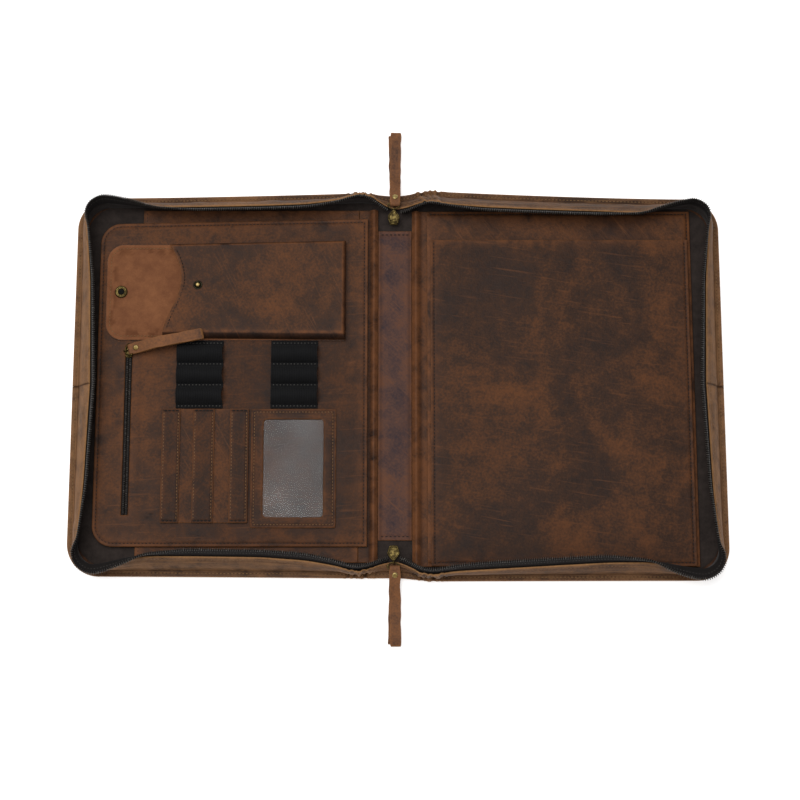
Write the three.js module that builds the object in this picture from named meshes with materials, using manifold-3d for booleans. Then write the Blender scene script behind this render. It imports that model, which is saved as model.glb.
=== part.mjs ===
import * as THREE from "three";
import { mergeVertices } from "three/addons/utils/BufferGeometryUtils.js";
import Module from "manifold-3d";

const wasm = await Module();
wasm.setup();

// A zip-round leather document case, open and lying flat with its inside up. Millimetres:
// x runs from the spine's centre line, y towards the top edge, z up from the surface it lies on.
// The case is sized from the inside out: pockets set the organiser, and that sets the case.

// Thicknesses, the clearance between pieces that touch, and a wider one where the wall twists
const GAP = 0.3;
const WALL_GAP = 0.5;
const COVER = 1.8;
const GUSSET = 1.8;
const LINING = 1;
const TAPE = 1;
const LEATHER = 1.6;
const ORGANISER = 3;
const THIN_LEATHER = 1.3;
const ELASTIC = 1;
const FILM = 0.8;

// Phone pocket, a box of leather on a flap that lies open to its left
const PHONE_LENGTH = 154;
const PHONE_HEIGHT = 86;
const PHONE_DEPTH = 7.6;
const PHONE_TAPER = 3;
const PHONE_CORNER = 3;
const MOUTH_DEPTH = 12;
const FLAP_MARGIN = 6.7;
const FLAP_CORNER = 15;
const SNAP_FROM_FLAP_END = 13;
const SOCKET_RADIUS = 5.5;
const STUD_RADIUS = 3.4;
const SNAP_RIM = 1.4;
const SNAP_HEIGHT = 2;
const STUD_FROM_MOUTH = 12;

// Pen loops: two bands of elastic, each sewn down into bulging loops
const PEN_LOOPS = 3;
const PEN_PITCH = 19;
const PEN_SEAM = 2.2;
const PEN_BULGE = 8.4;
const PEN_BAND = 41;
const PEN_BANDS_APART = 41.5;

// Card slots and the pocket with a window
const CARD_STRIPS = 3;
const CARD_PITCH = 29.6;
const CARD_STRIP = 14.2;
const CARD_HEIGHT = 99.2;
const ID_WIDTH = 73.6;
const ID_HEIGHT = 103.6;
const WINDOW_SIDE = 10.6;
const WINDOW_TOP = 9;
const WINDOW_CORNER = 3;

// Organiser panel: its margins, and the zip that closes its back pocket
const ORGANISER_HEAD = 19.6;
const ORGANISER_FOOT = 16;
const ORGANISER_SPINE_MARGIN = 27;
const ORGANISER_CORNER = 18;
const ORGANISER_TOP_SLOPE = 0.02;
const PHONE_SPINE_MARGIN = 19.4;
const ROW_GAP = 1;
const COLUMN_GAP = 2.3;
const SLOT_FROM_EDGE = 23.3;
const SLOT_WIDTH = 8.5;
const SLOT_TO_CARDS = 28.4;
const SLOT_BELOW_FLAP = 4;
const SLOT_FOOT = 26;
const SLOT_TAPE = 2.8;
const SLOT_TEETH = 1.3;

// Case round the organiser
const ORGANISER_BORDER = 24.5;
const ORGANISER_SIDE = 21;
const ORGANISER_FROM_SPINE = 24;
const RIGHT_LONGER = 5.5;
const CORNER_RADIUS = 17;
const SHOULDER = 34;
const FLANGE = 4.4;
const BEND = 1.6;
const BULGE = 1.2;
const WALL_HEIGHT = 17;
const WALL_LEAN = 17;
const TAPE_HEIGHT = 9.6;
const TAPE_LEAN = 4;
const ZIP_FLARE = 7;
const TAPE_SEWN = 0.45;
const TEETH_WIDTH = 2.6;
const TEETH_HEIGHT = 2.2;

// Leathers on the lining
const FLOOR_MARGIN = 2.4;
const BACK_POCKET_FROM_SLOT = 5;
const HINGE_STRIP = 16.6;
const RIDGE = 5.4;
const RIDGE_HEIGHT = 3.2;
const PATCH_WIDTH = 29.4;
const PATCH_HEAD = 19;
const PATCH_FOOT = 19;
const DOCUMENT_SIDE = 14;
const DOCUMENT_OVERLAP = 3.3;
const SEAM = 5;
const PAD_POCKET_HEAD = 27;
const PAD_POCKET_MARGIN = 3;

// Sliders, rings, straps and rivets
const SLIDER_LENGTH = 13;
const SLIDER_WIDTH = 10.4;
const SLIDER_PLATE = 1.5;
const SLIDER_CHANNEL = 1.6;
const SLIDER_POST = 0.8;
const SLIDER_X = -1.2;
const POCKET_SLIDER_LENGTH = 11;
const POCKET_SLIDER_WIDTH = 7.4;
const EYE_RADIUS = 2.1;
const EYE_HOLE = 1.1;
const EYE_WIDTH = 1.6;
const WIRE = 1.2;
const RING_LENGTH = 5;
const RING_BEND = 1;
const STRAP_WIDTH = 9.4;
const STRAP_LEATHER = 1.5;
const STRAP_LENGTH_TOP = 68.2;
const STRAP_LENGTH_BOTTOM = 65.8;
const STRAP_LENGTH_POCKET = 65;
const STRAP_UNDER_SHORTER = 2.4;
const STRAP_SKEW = 2.2;
const STRAP_LANDING = 31;
const POCKET_STRAP_LANDING = 28;
const POCKET_STRAP_TURN = 11;
const POCKET_EYE_BACK = 2.6;
const STRAP_STEPS = 12;
const STRAP_CLOSING = 2.6;
const STRAP_PINCH = 0.78;
const POCKET_RING_RISE = 2.4;
const RIVET_FROM_FOLD = 5.4;
const RIVET_BACK = 0.6;
const RIVET_HEAD = 2.5;
const RIVET_DOME = 1.1;
const RIVET_SHANK = 0.9;

// Arc and station counts
const CORNER_STEPS = 4;
const ROUND = 16;

// Sizes that follow from those above
const PEN_HEIGHT = PEN_LOOPS * PEN_PITCH + PEN_SEAM;
const CARDS_WIDTH = (CARD_STRIPS - 1) * CARD_PITCH + CARD_STRIP;
const ORGANISER_HEIGHT =
  ORGANISER_HEAD + PHONE_HEIGHT + PEN_HEIGHT + 2 * ROW_GAP + ID_HEIGHT + ORGANISER_FOOT;
const ORGANISER_WIDTH =
  SLOT_FROM_EDGE + SLOT_WIDTH + SLOT_TO_CARDS + CARDS_WIDTH + COLUMN_GAP + ID_WIDTH +
  ORGANISER_SPINE_MARGIN;
const HEIGHT = ORGANISER_HEIGHT + 2 * ORGANISER_BORDER;
const REACH = ORGANISER_FROM_SPINE + ORGANISER_WIDTH + ORGANISER_SIDE;

// The outline of each quarter. spine, shoulder and corner: how far its edge lies from the middle
// line at the spine, beside the spine and at the outer corner, as shares of HEIGHT. flare: how far
// the zip opens outwards over that corner, as a share of ZIP_FLARE.
const QUARTERS = [
  { name: "left_top", side: -1, end: 1, spine: 0.516, shoulder: 0.527, corner: 0.509, flare: 0.45 },
  { name: "left_bottom", side: -1, end: -1, spine: 0.496, shoulder: 0.499, corner: 0.491, flare: 0.8 },
  { name: "right_top", side: 1, end: 1, spine: 0.516, shoulder: 0.528, corner: 0.506, flare: 0.15 },
  { name: "right_bottom", side: 1, end: -1, spine: 0.496, shoulder: 0.503, corner: 0.5015, flare: 1 },
];

// How the wall and the zip stand along a quarter. run: 0 to 1 along the long side from the spine,
// 1 to 2 round the corner, 2 to 3 along the outer side to its middle. rise and lean: the wall's top
// edge, as shares of WALL_HEIGHT and WALL_LEAN, with a lean of its own at the bottom. tapeRise and
// tapeLean: the tape's top edge from there, as shares of TAPE_HEIGHT and TAPE_LEAN. flare: share of
// the quarter's own flare.
const RIM = [
  { run: 0, rise: 0.32, lean: 0.72, leanBottom: 0.72, tapeRise: 0.4, tapeLean: 0.8, flare: 0 },
  { run: 0.03, rise: 0.36, lean: 0.68, leanBottom: 0.66, tapeRise: 0.44, tapeLean: 0.75, flare: 0 },
  { run: 0.08, rise: 0.8, lean: 0.6, leanBottom: 0.44, tapeRise: 0.8, tapeLean: 0.6, flare: 0 },
  { run: 0.13, rise: 1, lean: 0.6, leanBottom: 0.3, tapeRise: 1, tapeLean: 0.4, flare: 0 },
  { run: 0.3, rise: 1, lean: 0.92, leanBottom: 0.84, tapeRise: 1, tapeLean: 1, flare: 0 },
  { run: 0.7, rise: 1, lean: 0.95, leanBottom: 0.88, tapeRise: 1, tapeLean: 1, flare: 0 },
  { run: 0.84, rise: 1, lean: 0.76, leanBottom: 0.78, tapeRise: 1, tapeLean: 0.5, flare: 0 },
  { run: 0.91, rise: 1.02, lean: 0.56, leanBottom: 0.58, tapeRise: 1, tapeLean: 0.1, flare: 0.3 },
  { run: 1, rise: 1.06, lean: 0.36, leanBottom: 0.36, tapeRise: 1, tapeLean: 0, flare: 1 },
  { run: 1.5, rise: 1.06, lean: 0.36, leanBottom: 0.36, tapeRise: 1, tapeLean: 0, flare: 1 },
  { run: 2, rise: 1.04, lean: 0.6, leanBottom: 0.6, tapeRise: 1, tapeLean: 0.2, flare: 0 },
  { run: 2.35, rise: 1, lean: 0.84, leanBottom: 0.84, tapeRise: 1, tapeLean: 0.7, flare: 0 },
  { run: 3, rise: 1, lean: 1, leanBottom: 1, tapeRise: 1, tapeLean: 1, flare: 0 },
];

// Half of a slider's shield outline, from its nose to its narrow end, as shares of its length from
// the middle and of its width. The zip's halves run into it at the third row.
const SHIELD = [
  { along: 0.5, across: 0 },
  { along: 0.46, across: 0.2 },
  { along: 0.32, across: 0.36 },
  { along: 0.05, across: 0.5 },
  { along: -0.5, across: 0.36 },
];
const ZIP_ENTRY = SHIELD[2];

// Heights of the layers, from the surface up
const LINING_Z = COVER + GAP;
const FLANGE_Z = LINING_Z + GUSSET / 2;
const FLOOR_Z = LINING_Z + LINING + GAP;
const PANEL_Z = FLOOR_Z + LEATHER + GAP;
const ON_PANEL_Z = PANEL_Z + LEATHER + GAP;
const ON_ORGANISER_Z = PANEL_Z + ORGANISER + GAP;
const ON_CARDS_Z = ON_ORGANISER_Z + THIN_LEATHER + GAP;
const PHONE_Z = ON_ORGANISER_Z + LEATHER + GAP;
const PHONE_TOP_Z = PHONE_Z + PHONE_DEPTH;

const mix = (a, b, t) => a + (b - a) * t;
const smooth = (t) => t * t * (3 - 2 * t);
const share = (t) => Math.min(1, Math.max(0, t));

// Materials: colour, roughness and metalness of each finish
const FINISHES = {
  leather: { color: "#5f4130", roughness: 0.62, metalness: 0 },
  band: { color: "#7a5b42", roughness: 0.66, metalness: 0 },
  suede: { color: "#7f4d2b", roughness: 0.8, metalness: 0 },
  cloth: { color: "#2a2523", roughness: 0.92, metalness: 0 },
  teeth: { color: "#2b2a2a", roughness: 0.45, metalness: 0.5 },
  elastic: { color: "#222223", roughness: 0.95, metalness: 0 },
  brass: { color: "#94804a", roughness: 0.42, metalness: 1 },
  film: { color: "#e4e8ea", roughness: 0.1, metalness: 0, transparent: true, opacity: 0.35 },
};

const documentCase = new THREE.Group();

function piece(name, geometry, finish, parent = documentCase) {
  const mesh = new THREE.Mesh(geometry, new THREE.MeshStandardMaterial(FINISHES[finish]));
  mesh.name = name;
  parent.add(mesh);
  return mesh;
}

// A geometry from points and triangles that close on themselves, turned to face outwards.
function closed(points, triangles) {
  let volume = 0;
  for (let i = 0; i < triangles.length; i += 3) {
    const [a, b, c] = [0, 1, 2].map((k) => new THREE.Vector3(...points[triangles[i + k]]));
    volume += a.dot(b.cross(c));
  }
  const geometry = new THREE.BufferGeometry();
  geometry.setAttribute("position", new THREE.Float32BufferAttribute(points.flat(), 3));
  geometry.setIndex(volume < 0 ? triangles.toReversed() : triangles);
  geometry.computeVertexNormals();
  return geometry;
}

// A body through rings of equally many points. An open run is capped by joining the first half of
// a ring to its second half, which suits the section of any strip; a looped run meets itself. Each
// four-sided face is split along its shorter diagonal, so faces that lie side by side match.
function loft(rings, looped = false) {
  const across = rings[0].length;
  const triangles = [];
  const points = rings.flat();
  const apart = (a, b) => Math.hypot(...points[a].map((v, axis) => v - points[b][axis]));
  const quad = (a, b, c, d) =>
    apart(a, c) < apart(b, d)
      ? triangles.push(a, b, c, a, c, d)
      : triangles.push(b, c, d, b, d, a);
  for (let i = 0; i < rings.length - (looped ? 0 : 1); i++) {
    const here = i * across;
    const next = ((i + 1) % rings.length) * across;
    for (let j = 0; j < across; j++) {
      const k = (j + 1) % across;
      quad(here + j, here + k, next + k, next + j);
    }
  }
  const end = (rings.length - 1) * across;
  for (let j = 0; j < across / 2 - 1 && !looped; j++) {
    const far = across - 1 - j;
    quad(j, far, far - 1, j + 1);
    quad(end + j, end + j + 1, end + far - 1, end + far);
  }
  return closed(points, triangles);
}

// A line of [across, up] points moved sideways, to its left where the distance is positive.
function offset(line, distance) {
  const along = line.map(([x, z]) => new THREE.Vector2(x, z));
  const facing = (i) => along[i + 1].clone().sub(along[i]).normalize();
  return along.map((point, i) => {
    const before = facing(Math.max(i - 1, 0));
    const after = facing(Math.min(i, along.length - 2));
    const mean = before.clone().add(after).normalize();
    const reach = distance / Math.max(mean.dot(after), 0.6);
    return [point.x - mean.y * reach, point.y + mean.x * reach];
  });
}

// The section of a strip of leather or cloth whose middle follows a line.
const thicken = (line, thickness) => [
  ...offset(line, thickness / 2),
  ...offset(line, -thickness / 2).reverse(),
];

// A flat sheet: an outline with holes, from a height upwards.
function sheet(outline, z, thickness, holes = []) {
  const shape = new THREE.Shape(outline);
  shape.holes = holes.map((hole) => new THREE.Path(hole));
  const geometry = new THREE.ExtrudeGeometry(shape, { depth: thickness, bevelEnabled: false });
  return geometry.translate(0, 0, z);
}

// The corners of a rectangle, each rounded by its own radius, anticlockwise from the bottom left.
// slope: how much the top edge rises for each millimetre of x.
function rectangle({ left, right, bottom, top }, radii = [0, 0, 0, 0], slope = 0) {
  const corners = [
    { x: left, y: bottom, in: [1, 1], from: Math.PI },
    { x: right, y: bottom, in: [-1, 1], from: 1.5 * Math.PI },
    { x: right, y: top + slope * (right - left), in: [-1, -1], from: 0 },
    { x: left, y: top, in: [1, -1], from: 0.5 * Math.PI },
  ];
  return corners.flatMap((corner, k) => {
    const radius = radii[k];
    if (!radius) return [new THREE.Vector2(corner.x, corner.y)];
    return Array.from({ length: CORNER_STEPS + 1 }, (_, i) => {
      const angle = corner.from + (i / CORNER_STEPS) * (Math.PI / 2);
      const centreX = corner.x + corner.in[0] * radius;
      const centreY = corner.y + corner.in[1] * radius;
      return new THREE.Vector2(
        centreX + radius * Math.cos(angle),
        centreY + radius * Math.sin(angle),
      );
    });
  });
}

// Closed geometry to a solid that can be cut and joined, and back.
function toSolid(geometry) {
  const bare = geometry.clone();
  bare.deleteAttribute("normal");
  bare.deleteAttribute("uv");
  const merged = mergeVertices(bare, 1e-4);
  return new wasm.Manifold(
    new wasm.Mesh({
      numProp: 3,
      vertProperties: merged.attributes.position.array,
      triVerts: new Uint32Array(merged.index.array),
    }),
  );
}

function fromSolid(solid) {
  const mesh = solid.getMesh();
  const geometry = new THREE.BufferGeometry();
  geometry.setAttribute("position", new THREE.Float32BufferAttribute(mesh.vertProperties, 3));
  geometry.setIndex(new THREE.Uint32BufferAttribute(mesh.triVerts, 1));
  geometry.computeVertexNormals();
  return geometry;
}

const join = (...geometries) =>
  fromSolid(geometries.map(toSolid).reduce((body, added) => body.add(added)));
const cut = (geometry, ...tools) =>
  fromSolid(tools.map(toSolid).reduce((body, tool) => body.subtract(tool), toSolid(geometry)));

// The distance of a quarter's edge from the middle line, at a distance from the spine.
function edgeAt(quarter, x) {
  const reach = reachOf(quarter.side) - CORNER_RADIUS;
  const beyond = share((x - SHOULDER) / (reach - SHOULDER));
  const level =
    x < SHOULDER
      ? mix(quarter.spine, quarter.shoulder, smooth(x / SHOULDER))
      : mix(quarter.shoulder, quarter.corner, 1 - (1 - beyond) ** 1.5);
  return HEIGHT * level;
}

const reachOf = (side) => REACH + (side > 0 ? RIGHT_LONGER : 0);
const quarterOf = (side, end) => QUARTERS.find((q) => q.side === side && q.end === end);
const cornerOf = (side, end) => HEIGHT * quarterOf(side, end).corner;

// Where a quarter's rim is sampled: halfway between the rows of RIM, and finer round the corner.
const RUNS = RIM.slice(0, -1).flatMap((row, i) => {
  const steps = row.run >= 1 && row.run < 2 ? CORNER_STEPS : 2;
  return Array.from({ length: steps }, (_, k) => mix(row.run, RIM[i + 1].run, k / steps));
});

// A point of the rim's outer edge, and the shares of RIM there.
function rimPoint(quarter, run, from, to) {
  const reach = reachOf(quarter.side);
  const corner = HEIGHT * quarter.corner - CORNER_RADIUS;
  let x = mix(from, reach - CORNER_RADIUS, share(run));
  let y = edgeAt(quarter, x);
  if (run > 1) {
    const angle = (1 - share(run - 1)) * (Math.PI / 2);
    x = reach - CORNER_RADIUS * (1 - Math.cos(angle));
    y = corner + CORNER_RADIUS * Math.sin(angle);
  }
  if (run > 2) y = mix(corner, to, run - 2);
  const i = Math.max(RIM.findIndex((row) => row.run > run) - 1, run >= 3 ? RIM.length - 2 : 0);
  const t = smooth((run - RIM[i].run) / (RIM[i + 1].run - RIM[i].run));
  const at = (key) => mix(RIM[i][key], RIM[i + 1][key], t);
  const topLean = WALL_LEAN * at(quarter.end > 0 ? "lean" : "leanBottom");
  const topZ = FLANGE_Z + WALL_HEIGHT * at("rise");
  return {
    x: quarter.side * x,
    y: quarter.end * y,
    top: [topLean, topZ],
    zip: [
      topLean + TAPE_LEAN * at("tapeLean") - ZIP_FLARE * at("flare") * quarter.flare,
      topZ + TAPE_HEIGHT * at("tapeRise"),
    ],
  };
}

// Each station gets the direction that points into the case, square to the rim.
function facingIn(stations, side) {
  return stations.map((station, i) => {
    const before = stations[Math.max(i - 1, 0)];
    const after = stations[Math.min(i + 1, stations.length - 1)];
    const inward = new THREE.Vector2(before.y - after.y, after.x - before.x).normalize();
    const centre = new THREE.Vector2((side * REACH) / 2 - station.x, -station.y);
    return { ...station, inward: inward.dot(centre) < 0 ? inward.negate() : inward };
  });
}

const quarterRim = (quarter, from, to) =>
  [...RUNS, 3].map((run) => rimPoint(quarter, run, from, to));

// The whole rim of a half, from the top of the spine round to its foot.
function halfRim(side, from) {
  const top = quarterRim(quarterOf(side, 1), from, 0);
  const bottom = quarterRim(quarterOf(side, -1), from, 0);
  return facingIn([...top, ...bottom.reverse().slice(1)], side);
}

// The sections of the rim, as lines of [inset, height].
function wallLine({ top }) {
  const foot = [FLANGE + BEND, FLANGE_Z + BEND];
  const middle = [(foot[0] + top[0]) / 2 - BULGE, (foot[1] + top[1]) / 2];
  return [[0, FLANGE_Z], [FLANGE, FLANGE_Z], foot, middle, top];
}

function innerLine(station) {
  const line = [...wallLine(station), station.zip];
  return offset(line, -(GUSSET / 2 + WALL_GAP + TAPE / 2)).slice(2);
}

const between = (a, b, t) => [mix(a[0], b[0], t), mix(a[1], b[1], t)];
const spread = (a, b) => Math.hypot(b[0] - a[0], b[1] - a[1]);

function wallLiningLine(station) {
  const [foot, middle, top] = innerLine(station);
  const start = between(foot, middle, GAP / spread(foot, middle));
  return [start, middle, between(middle, top, TAPE_SEWN - GAP / spread(middle, top))];
}

function tapeLine(station) {
  const [, middle, top, zip] = innerLine(station);
  return [between(middle, top, TAPE_SEWN), top, zip];
}

function teethLine(station) {
  const [, , top, zip] = innerLine(station);
  const length = spread(top, zip);
  return [
    between(top, zip, 1 + GAP / length),
    between(top, zip, 1 + (GAP + TEETH_HEIGHT) / length),
  ];
}

// A strip swept round the rim. start: how far from the spine its ends stay.
function sweep(stations, line, thickness, start = 0) {
  const rings = stations.map((station) =>
    thicken(line(station), thickness).map(([inset, z]) => [
      station.x + station.inward.x * inset,
      station.y + station.inward.y * inset,
      z,
    ]),
  );
  const far = stations.map(({ x }) => Math.abs(x));
  const first = far.findIndex((x) => x > start);
  const last = far.findLastIndex((x) => x > start);
  const cutRing = (inside, outside) => {
    const t = (start - far[inside]) / (far[outside] - far[inside]);
    return rings[inside].map((p, k) => p.map((v, axis) => mix(v, rings[outside][k][axis], t)));
  };
  const kept = rings.slice(first, last + 1);
  if (first > 0) kept.unshift(cutRing(first - 1, first));
  if (last < rings.length - 1) kept.push(cutRing(last + 1, last));
  return loft(kept);
}

// The outline of both halves together, at an inset from the edge.
function caseOutline(inset) {
  const right = halfRim(1, 0);
  const left = halfRim(-1, 0).reverse();
  return [...right, ...left.slice(1, -1)].map(
    ({ x, y, inward }) => new THREE.Vector2(x + inward.x * inset, y + inward.y * inset),
  );
}

// Cover and linings
const WALL_FOOT = FLANGE + BEND + GUSSET / 2 + WALL_GAP;
piece("outer_cover", sheet(caseOutline(0), 0, COVER), "leather");
piece("lining", sheet(caseOutline(WALL_FOOT), LINING_Z, LINING), "cloth");

// Side band, its lining and the zip
for (const quarter of QUARTERS) {
  const stations = facingIn(quarterRim(quarter, GAP / 2, GAP / 2), quarter.side);
  piece(`gusset_${quarter.name}`, sweep(stations, wallLine, GUSSET), "band");
}
for (const [name, side] of [["left", -1], ["right", 1]]) {
  const stations = halfRim(side, GAP / 2);
  const start = SLIDER_WIDTH * ZIP_ENTRY.across + GAP + side * SLIDER_X;
  piece(`wall_lining_${name}`, sweep(stations, wallLiningLine, LINING), "cloth");
  piece(`zip_tape_${name}`, sweep(stations, tapeLine, TAPE, start), "cloth");
  piece(`zip_teeth_${name}`, sweep(stations, teethLine, TEETH_WIDTH, start), "teeth");
}

// Leathers over the fold. The edges of the floor follow the outline, inside the wall.
const FLOOR_INSET = WALL_FOOT + LINING + GAP + FLOOR_MARGIN;
function floorBox(side, from, to) {
  const [left, right] = side > 0 ? [from, to] : [-to, -from];
  return {
    left,
    right,
    bottom: FLOOR_INSET - cornerOf(side, -1),
    top: cornerOf(side, 1) - FLOOR_INSET,
  };
}
const PATCH_HALF = PATCH_WIDTH / 2;
const STRIP_FROM = PATCH_HALF + GAP;
for (const [name, side] of [["left", -1], ["right", 1]]) {
  const box = floorBox(side, STRIP_FROM, STRIP_FROM + HINGE_STRIP);
  const low = FLOOR_Z + LEATHER / 2;
  const line = [
    [STRIP_FROM, low],
    [STRIP_FROM + RIDGE * 0.12, low],
    [STRIP_FROM + RIDGE * 0.35, low + RIDGE_HEIGHT * 0.7],
    [STRIP_FROM + RIDGE * 0.6, low + RIDGE_HEIGHT],
    [STRIP_FROM + RIDGE * 0.85, low + RIDGE_HEIGHT * 0.7],
    [STRIP_FROM + RIDGE * 1.3, low],
    [STRIP_FROM + HINGE_STRIP, low],
  ];
  const ring = (y) => thicken(line, LEATHER).map(([x, z]) => [side * x, y, z]);
  piece(`hinge_strip_${name}`, loft([ring(box.bottom), ring(box.top)]), "leather");
}
const patchBox = {
  left: -PATCH_HALF,
  right: PATCH_HALF,
  bottom: PATCH_FOOT + FLOOR_INSET - cornerOf(-1, -1),
  top: cornerOf(-1, 1) - FLOOR_INSET - PATCH_HEAD,
};
piece("spine_patch", sheet(rectangle(patchBox), FLOOR_Z, LEATHER), "leather");

// Left half: the back pocket and the organiser on it
const organiser = {
  left: -ORGANISER_FROM_SPINE - ORGANISER_WIDTH,
  right: -ORGANISER_FROM_SPINE,
  bottom: ORGANISER_BORDER - cornerOf(-1, -1),
  top: cornerOf(-1, 1) - ORGANISER_BORDER,
};
const slot = {
  left: organiser.left + SLOT_FROM_EDGE,
  right: organiser.left + SLOT_FROM_EDGE + SLOT_WIDTH,
};
const backPocket = floorBox(-1, STRIP_FROM + HINGE_STRIP + GAP, -slot.right - BACK_POCKET_FROM_SLOT);
piece("back_pocket", sheet(rectangle(backPocket), FLOOR_Z, LEATHER), "leather");

const phone = {
  left: organiser.right - PHONE_SPINE_MARGIN - PHONE_LENGTH,
  right: organiser.right - PHONE_SPINE_MARGIN,
  bottom: organiser.top - ORGANISER_HEAD - PHONE_HEIGHT,
  top: organiser.top - ORGANISER_HEAD,
};
slot.top = phone.bottom - SLOT_BELOW_FLAP;
slot.bottom = organiser.bottom + SLOT_FOOT;
piece(
  "organiser_panel",
  sheet(
    rectangle(organiser, [ORGANISER_CORNER, 0, 0, ORGANISER_CORNER], ORGANISER_TOP_SLOPE),
    PANEL_Z,
    ORGANISER,
    [rectangle(slot)],
  ),
  "leather",
);

// Zip of the pocket behind the organiser: a tape on each side of the slot, with a bead of teeth
// along its inner edge that stops at the slider
const SLOT_TAPE_Z = PANEL_Z + (ORGANISER - TAPE) / 2;
for (const [name, edge, inward] of [["left", slot.left, 1], ["right", slot.right, -1]]) {
  const strip = (from, to, top) => {
    const [left, right] = [edge + inward * from, edge + inward * to].sort((a, b) => a - b);
    return rectangle({ left, right, bottom: slot.bottom + GAP, top });
  };
  const tape = sheet(strip(GAP, GAP + SLOT_TAPE, slot.top - GAP), SLOT_TAPE_Z, TAPE);
  const bead = sheet(
    strip(GAP + SLOT_TAPE - SLOT_TEETH, GAP + SLOT_TAPE, slot.top - POCKET_SLIDER_LENGTH - 2 * GAP),
    SLOT_TAPE_Z - SLOT_TEETH / 4,
    TAPE + SLOT_TEETH / 2,
  );
  piece(`pocket_zip_${name}`, join(tape, bead), "teeth");
}

// Phone pocket: a flap that runs on under it, and a shell open at its curved mouth
const flap = { ...phone, left: organiser.left + FLAP_MARGIN };
piece(
  "phone_flap",
  sheet(
    rectangle(flap, [FLAP_CORNER, 0, 0, FLAP_CORNER]),
    ON_ORGANISER_Z,
    LEATHER,
  ),
  "suede",
);

function crown(box, levels) {
  return loft(
    levels.map(({ z, inset }) =>
      rectangle(
        {
          left: box.left + inset,
          right: box.right - inset,
          bottom: box.bottom + inset,
          top: box.top - inset,
        },
        [PHONE_CORNER, PHONE_CORNER, PHONE_CORNER, PHONE_CORNER],
      ).map(({ x, y }) => [x, y, z]),
    ),
  );
}

function phonePocket() {
  const past = { ...phone, left: phone.left - PHONE_HEIGHT };
  const shell = crown(past, [
    { z: PHONE_Z, inset: 0 },
    { z: PHONE_Z + PHONE_DEPTH * 0.6, inset: PHONE_TAPER * 0.25 },
    { z: PHONE_TOP_Z - PHONE_DEPTH * 0.1, inset: PHONE_TAPER * 0.7 },
    { z: PHONE_TOP_Z, inset: PHONE_TAPER * 1.3 },
  ]);
  const hollow = crown(past, [
    { z: PHONE_Z - LEATHER, inset: LEATHER },
    { z: PHONE_Z + PHONE_DEPTH * 0.55, inset: LEATHER + PHONE_TAPER * 0.25 },
    { z: PHONE_TOP_Z - LEATHER, inset: LEATHER + PHONE_TAPER },
  ]);
  const radius = (PHONE_HEIGHT ** 2 / 4 + MOUTH_DEPTH ** 2) / (2 * MOUTH_DEPTH);
  const opening = Math.asin(PHONE_HEIGHT / 2 / radius);
  const mouth = [new THREE.Vector2(past.left, past.top), new THREE.Vector2(past.left, past.bottom)];
  for (let i = 0; i <= ROUND; i++) {
    const angle = mix(-opening, opening, i / ROUND);
    const x = phone.left + MOUTH_DEPTH - radius + radius * Math.cos(angle);
    mouth.push(new THREE.Vector2(x, (phone.bottom + phone.top) / 2 + radius * Math.sin(angle)));
  }
  return cut(shell, hollow, sheet(mouth, PHONE_Z - PHONE_DEPTH, 3 * PHONE_DEPTH));
}
piece("phone_pocket", phonePocket(), "leather");

// Snap: a ring socket on the flap and a domed stud on the pocket
function turned(profile) {
  return new THREE.LatheGeometry(
    profile.map(([radius, z]) => new THREE.Vector2(radius, z)),
    ROUND,
  ).rotateX(Math.PI / 2);
}
const snapY = (phone.bottom + phone.top) / 2;
const socket = turned([
  [0, 0],
  [SOCKET_RADIUS, 0],
  [SOCKET_RADIUS, SNAP_HEIGHT * 0.5],
  [SOCKET_RADIUS - SNAP_RIM / 2, SNAP_HEIGHT],
  [SOCKET_RADIUS - SNAP_RIM * 1.5, SNAP_HEIGHT],
  [SOCKET_RADIUS - SNAP_RIM * 2, SNAP_HEIGHT * 0.4],
  [0, SNAP_HEIGHT * 0.4],
]);
piece("snap_socket", socket, "brass").position.set(
  flap.left + SNAP_FROM_FLAP_END,
  snapY,
  ON_ORGANISER_Z + LEATHER + GAP,
);
const stud = turned([
  [0, 0],
  [STUD_RADIUS, 0],
  [STUD_RADIUS, SNAP_HEIGHT * 0.3],
  [STUD_RADIUS - SNAP_RIM, SNAP_HEIGHT * 0.5],
  [STUD_RADIUS - SNAP_RIM, SNAP_HEIGHT * 0.8],
  [STUD_RADIUS - SNAP_RIM * 1.5, SNAP_HEIGHT],
  [0, SNAP_HEIGHT],
]);
piece("snap_stud", stud, "brass").position.set(
  phone.left + MOUTH_DEPTH + STUD_FROM_MOUTH,
  snapY,
  PHONE_TOP_Z + GAP,
);

// Pen loops: the band lies flat at its seams and arches between them
const penTop = phone.bottom - ROW_GAP;
const idBox = {
  left: organiser.right - ORGANISER_SPINE_MARGIN - ID_WIDTH,
  right: organiser.right - ORGANISER_SPINE_MARGIN,
  bottom: penTop - PEN_HEIGHT - ROW_GAP - ID_HEIGHT,
  top: penTop - PEN_HEIGHT - ROW_GAP,
};
function penLine() {
  const low = ON_ORGANISER_Z + ELASTIC / 2;
  const arch = [0.06, 0.2, 0.4, 0.6, 0.8, 0.94];
  const line = [[penTop, low]];
  for (let loop = 0; loop < PEN_LOOPS; loop++) {
    const start = penTop - PEN_SEAM - loop * PEN_PITCH;
    const width = PEN_PITCH - PEN_SEAM;
    line.push([start, low]);
    for (const t of arch)
      line.push([start - width * t, low + PEN_BULGE * Math.sin(Math.PI * t) ** 0.7]);
    line.push([start - width, low]);
  }
  line.push([penTop - PEN_HEIGHT, low]);
  return line;
}
const penRight = idBox.right - (ID_WIDTH - PEN_BAND) / 2;
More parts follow.
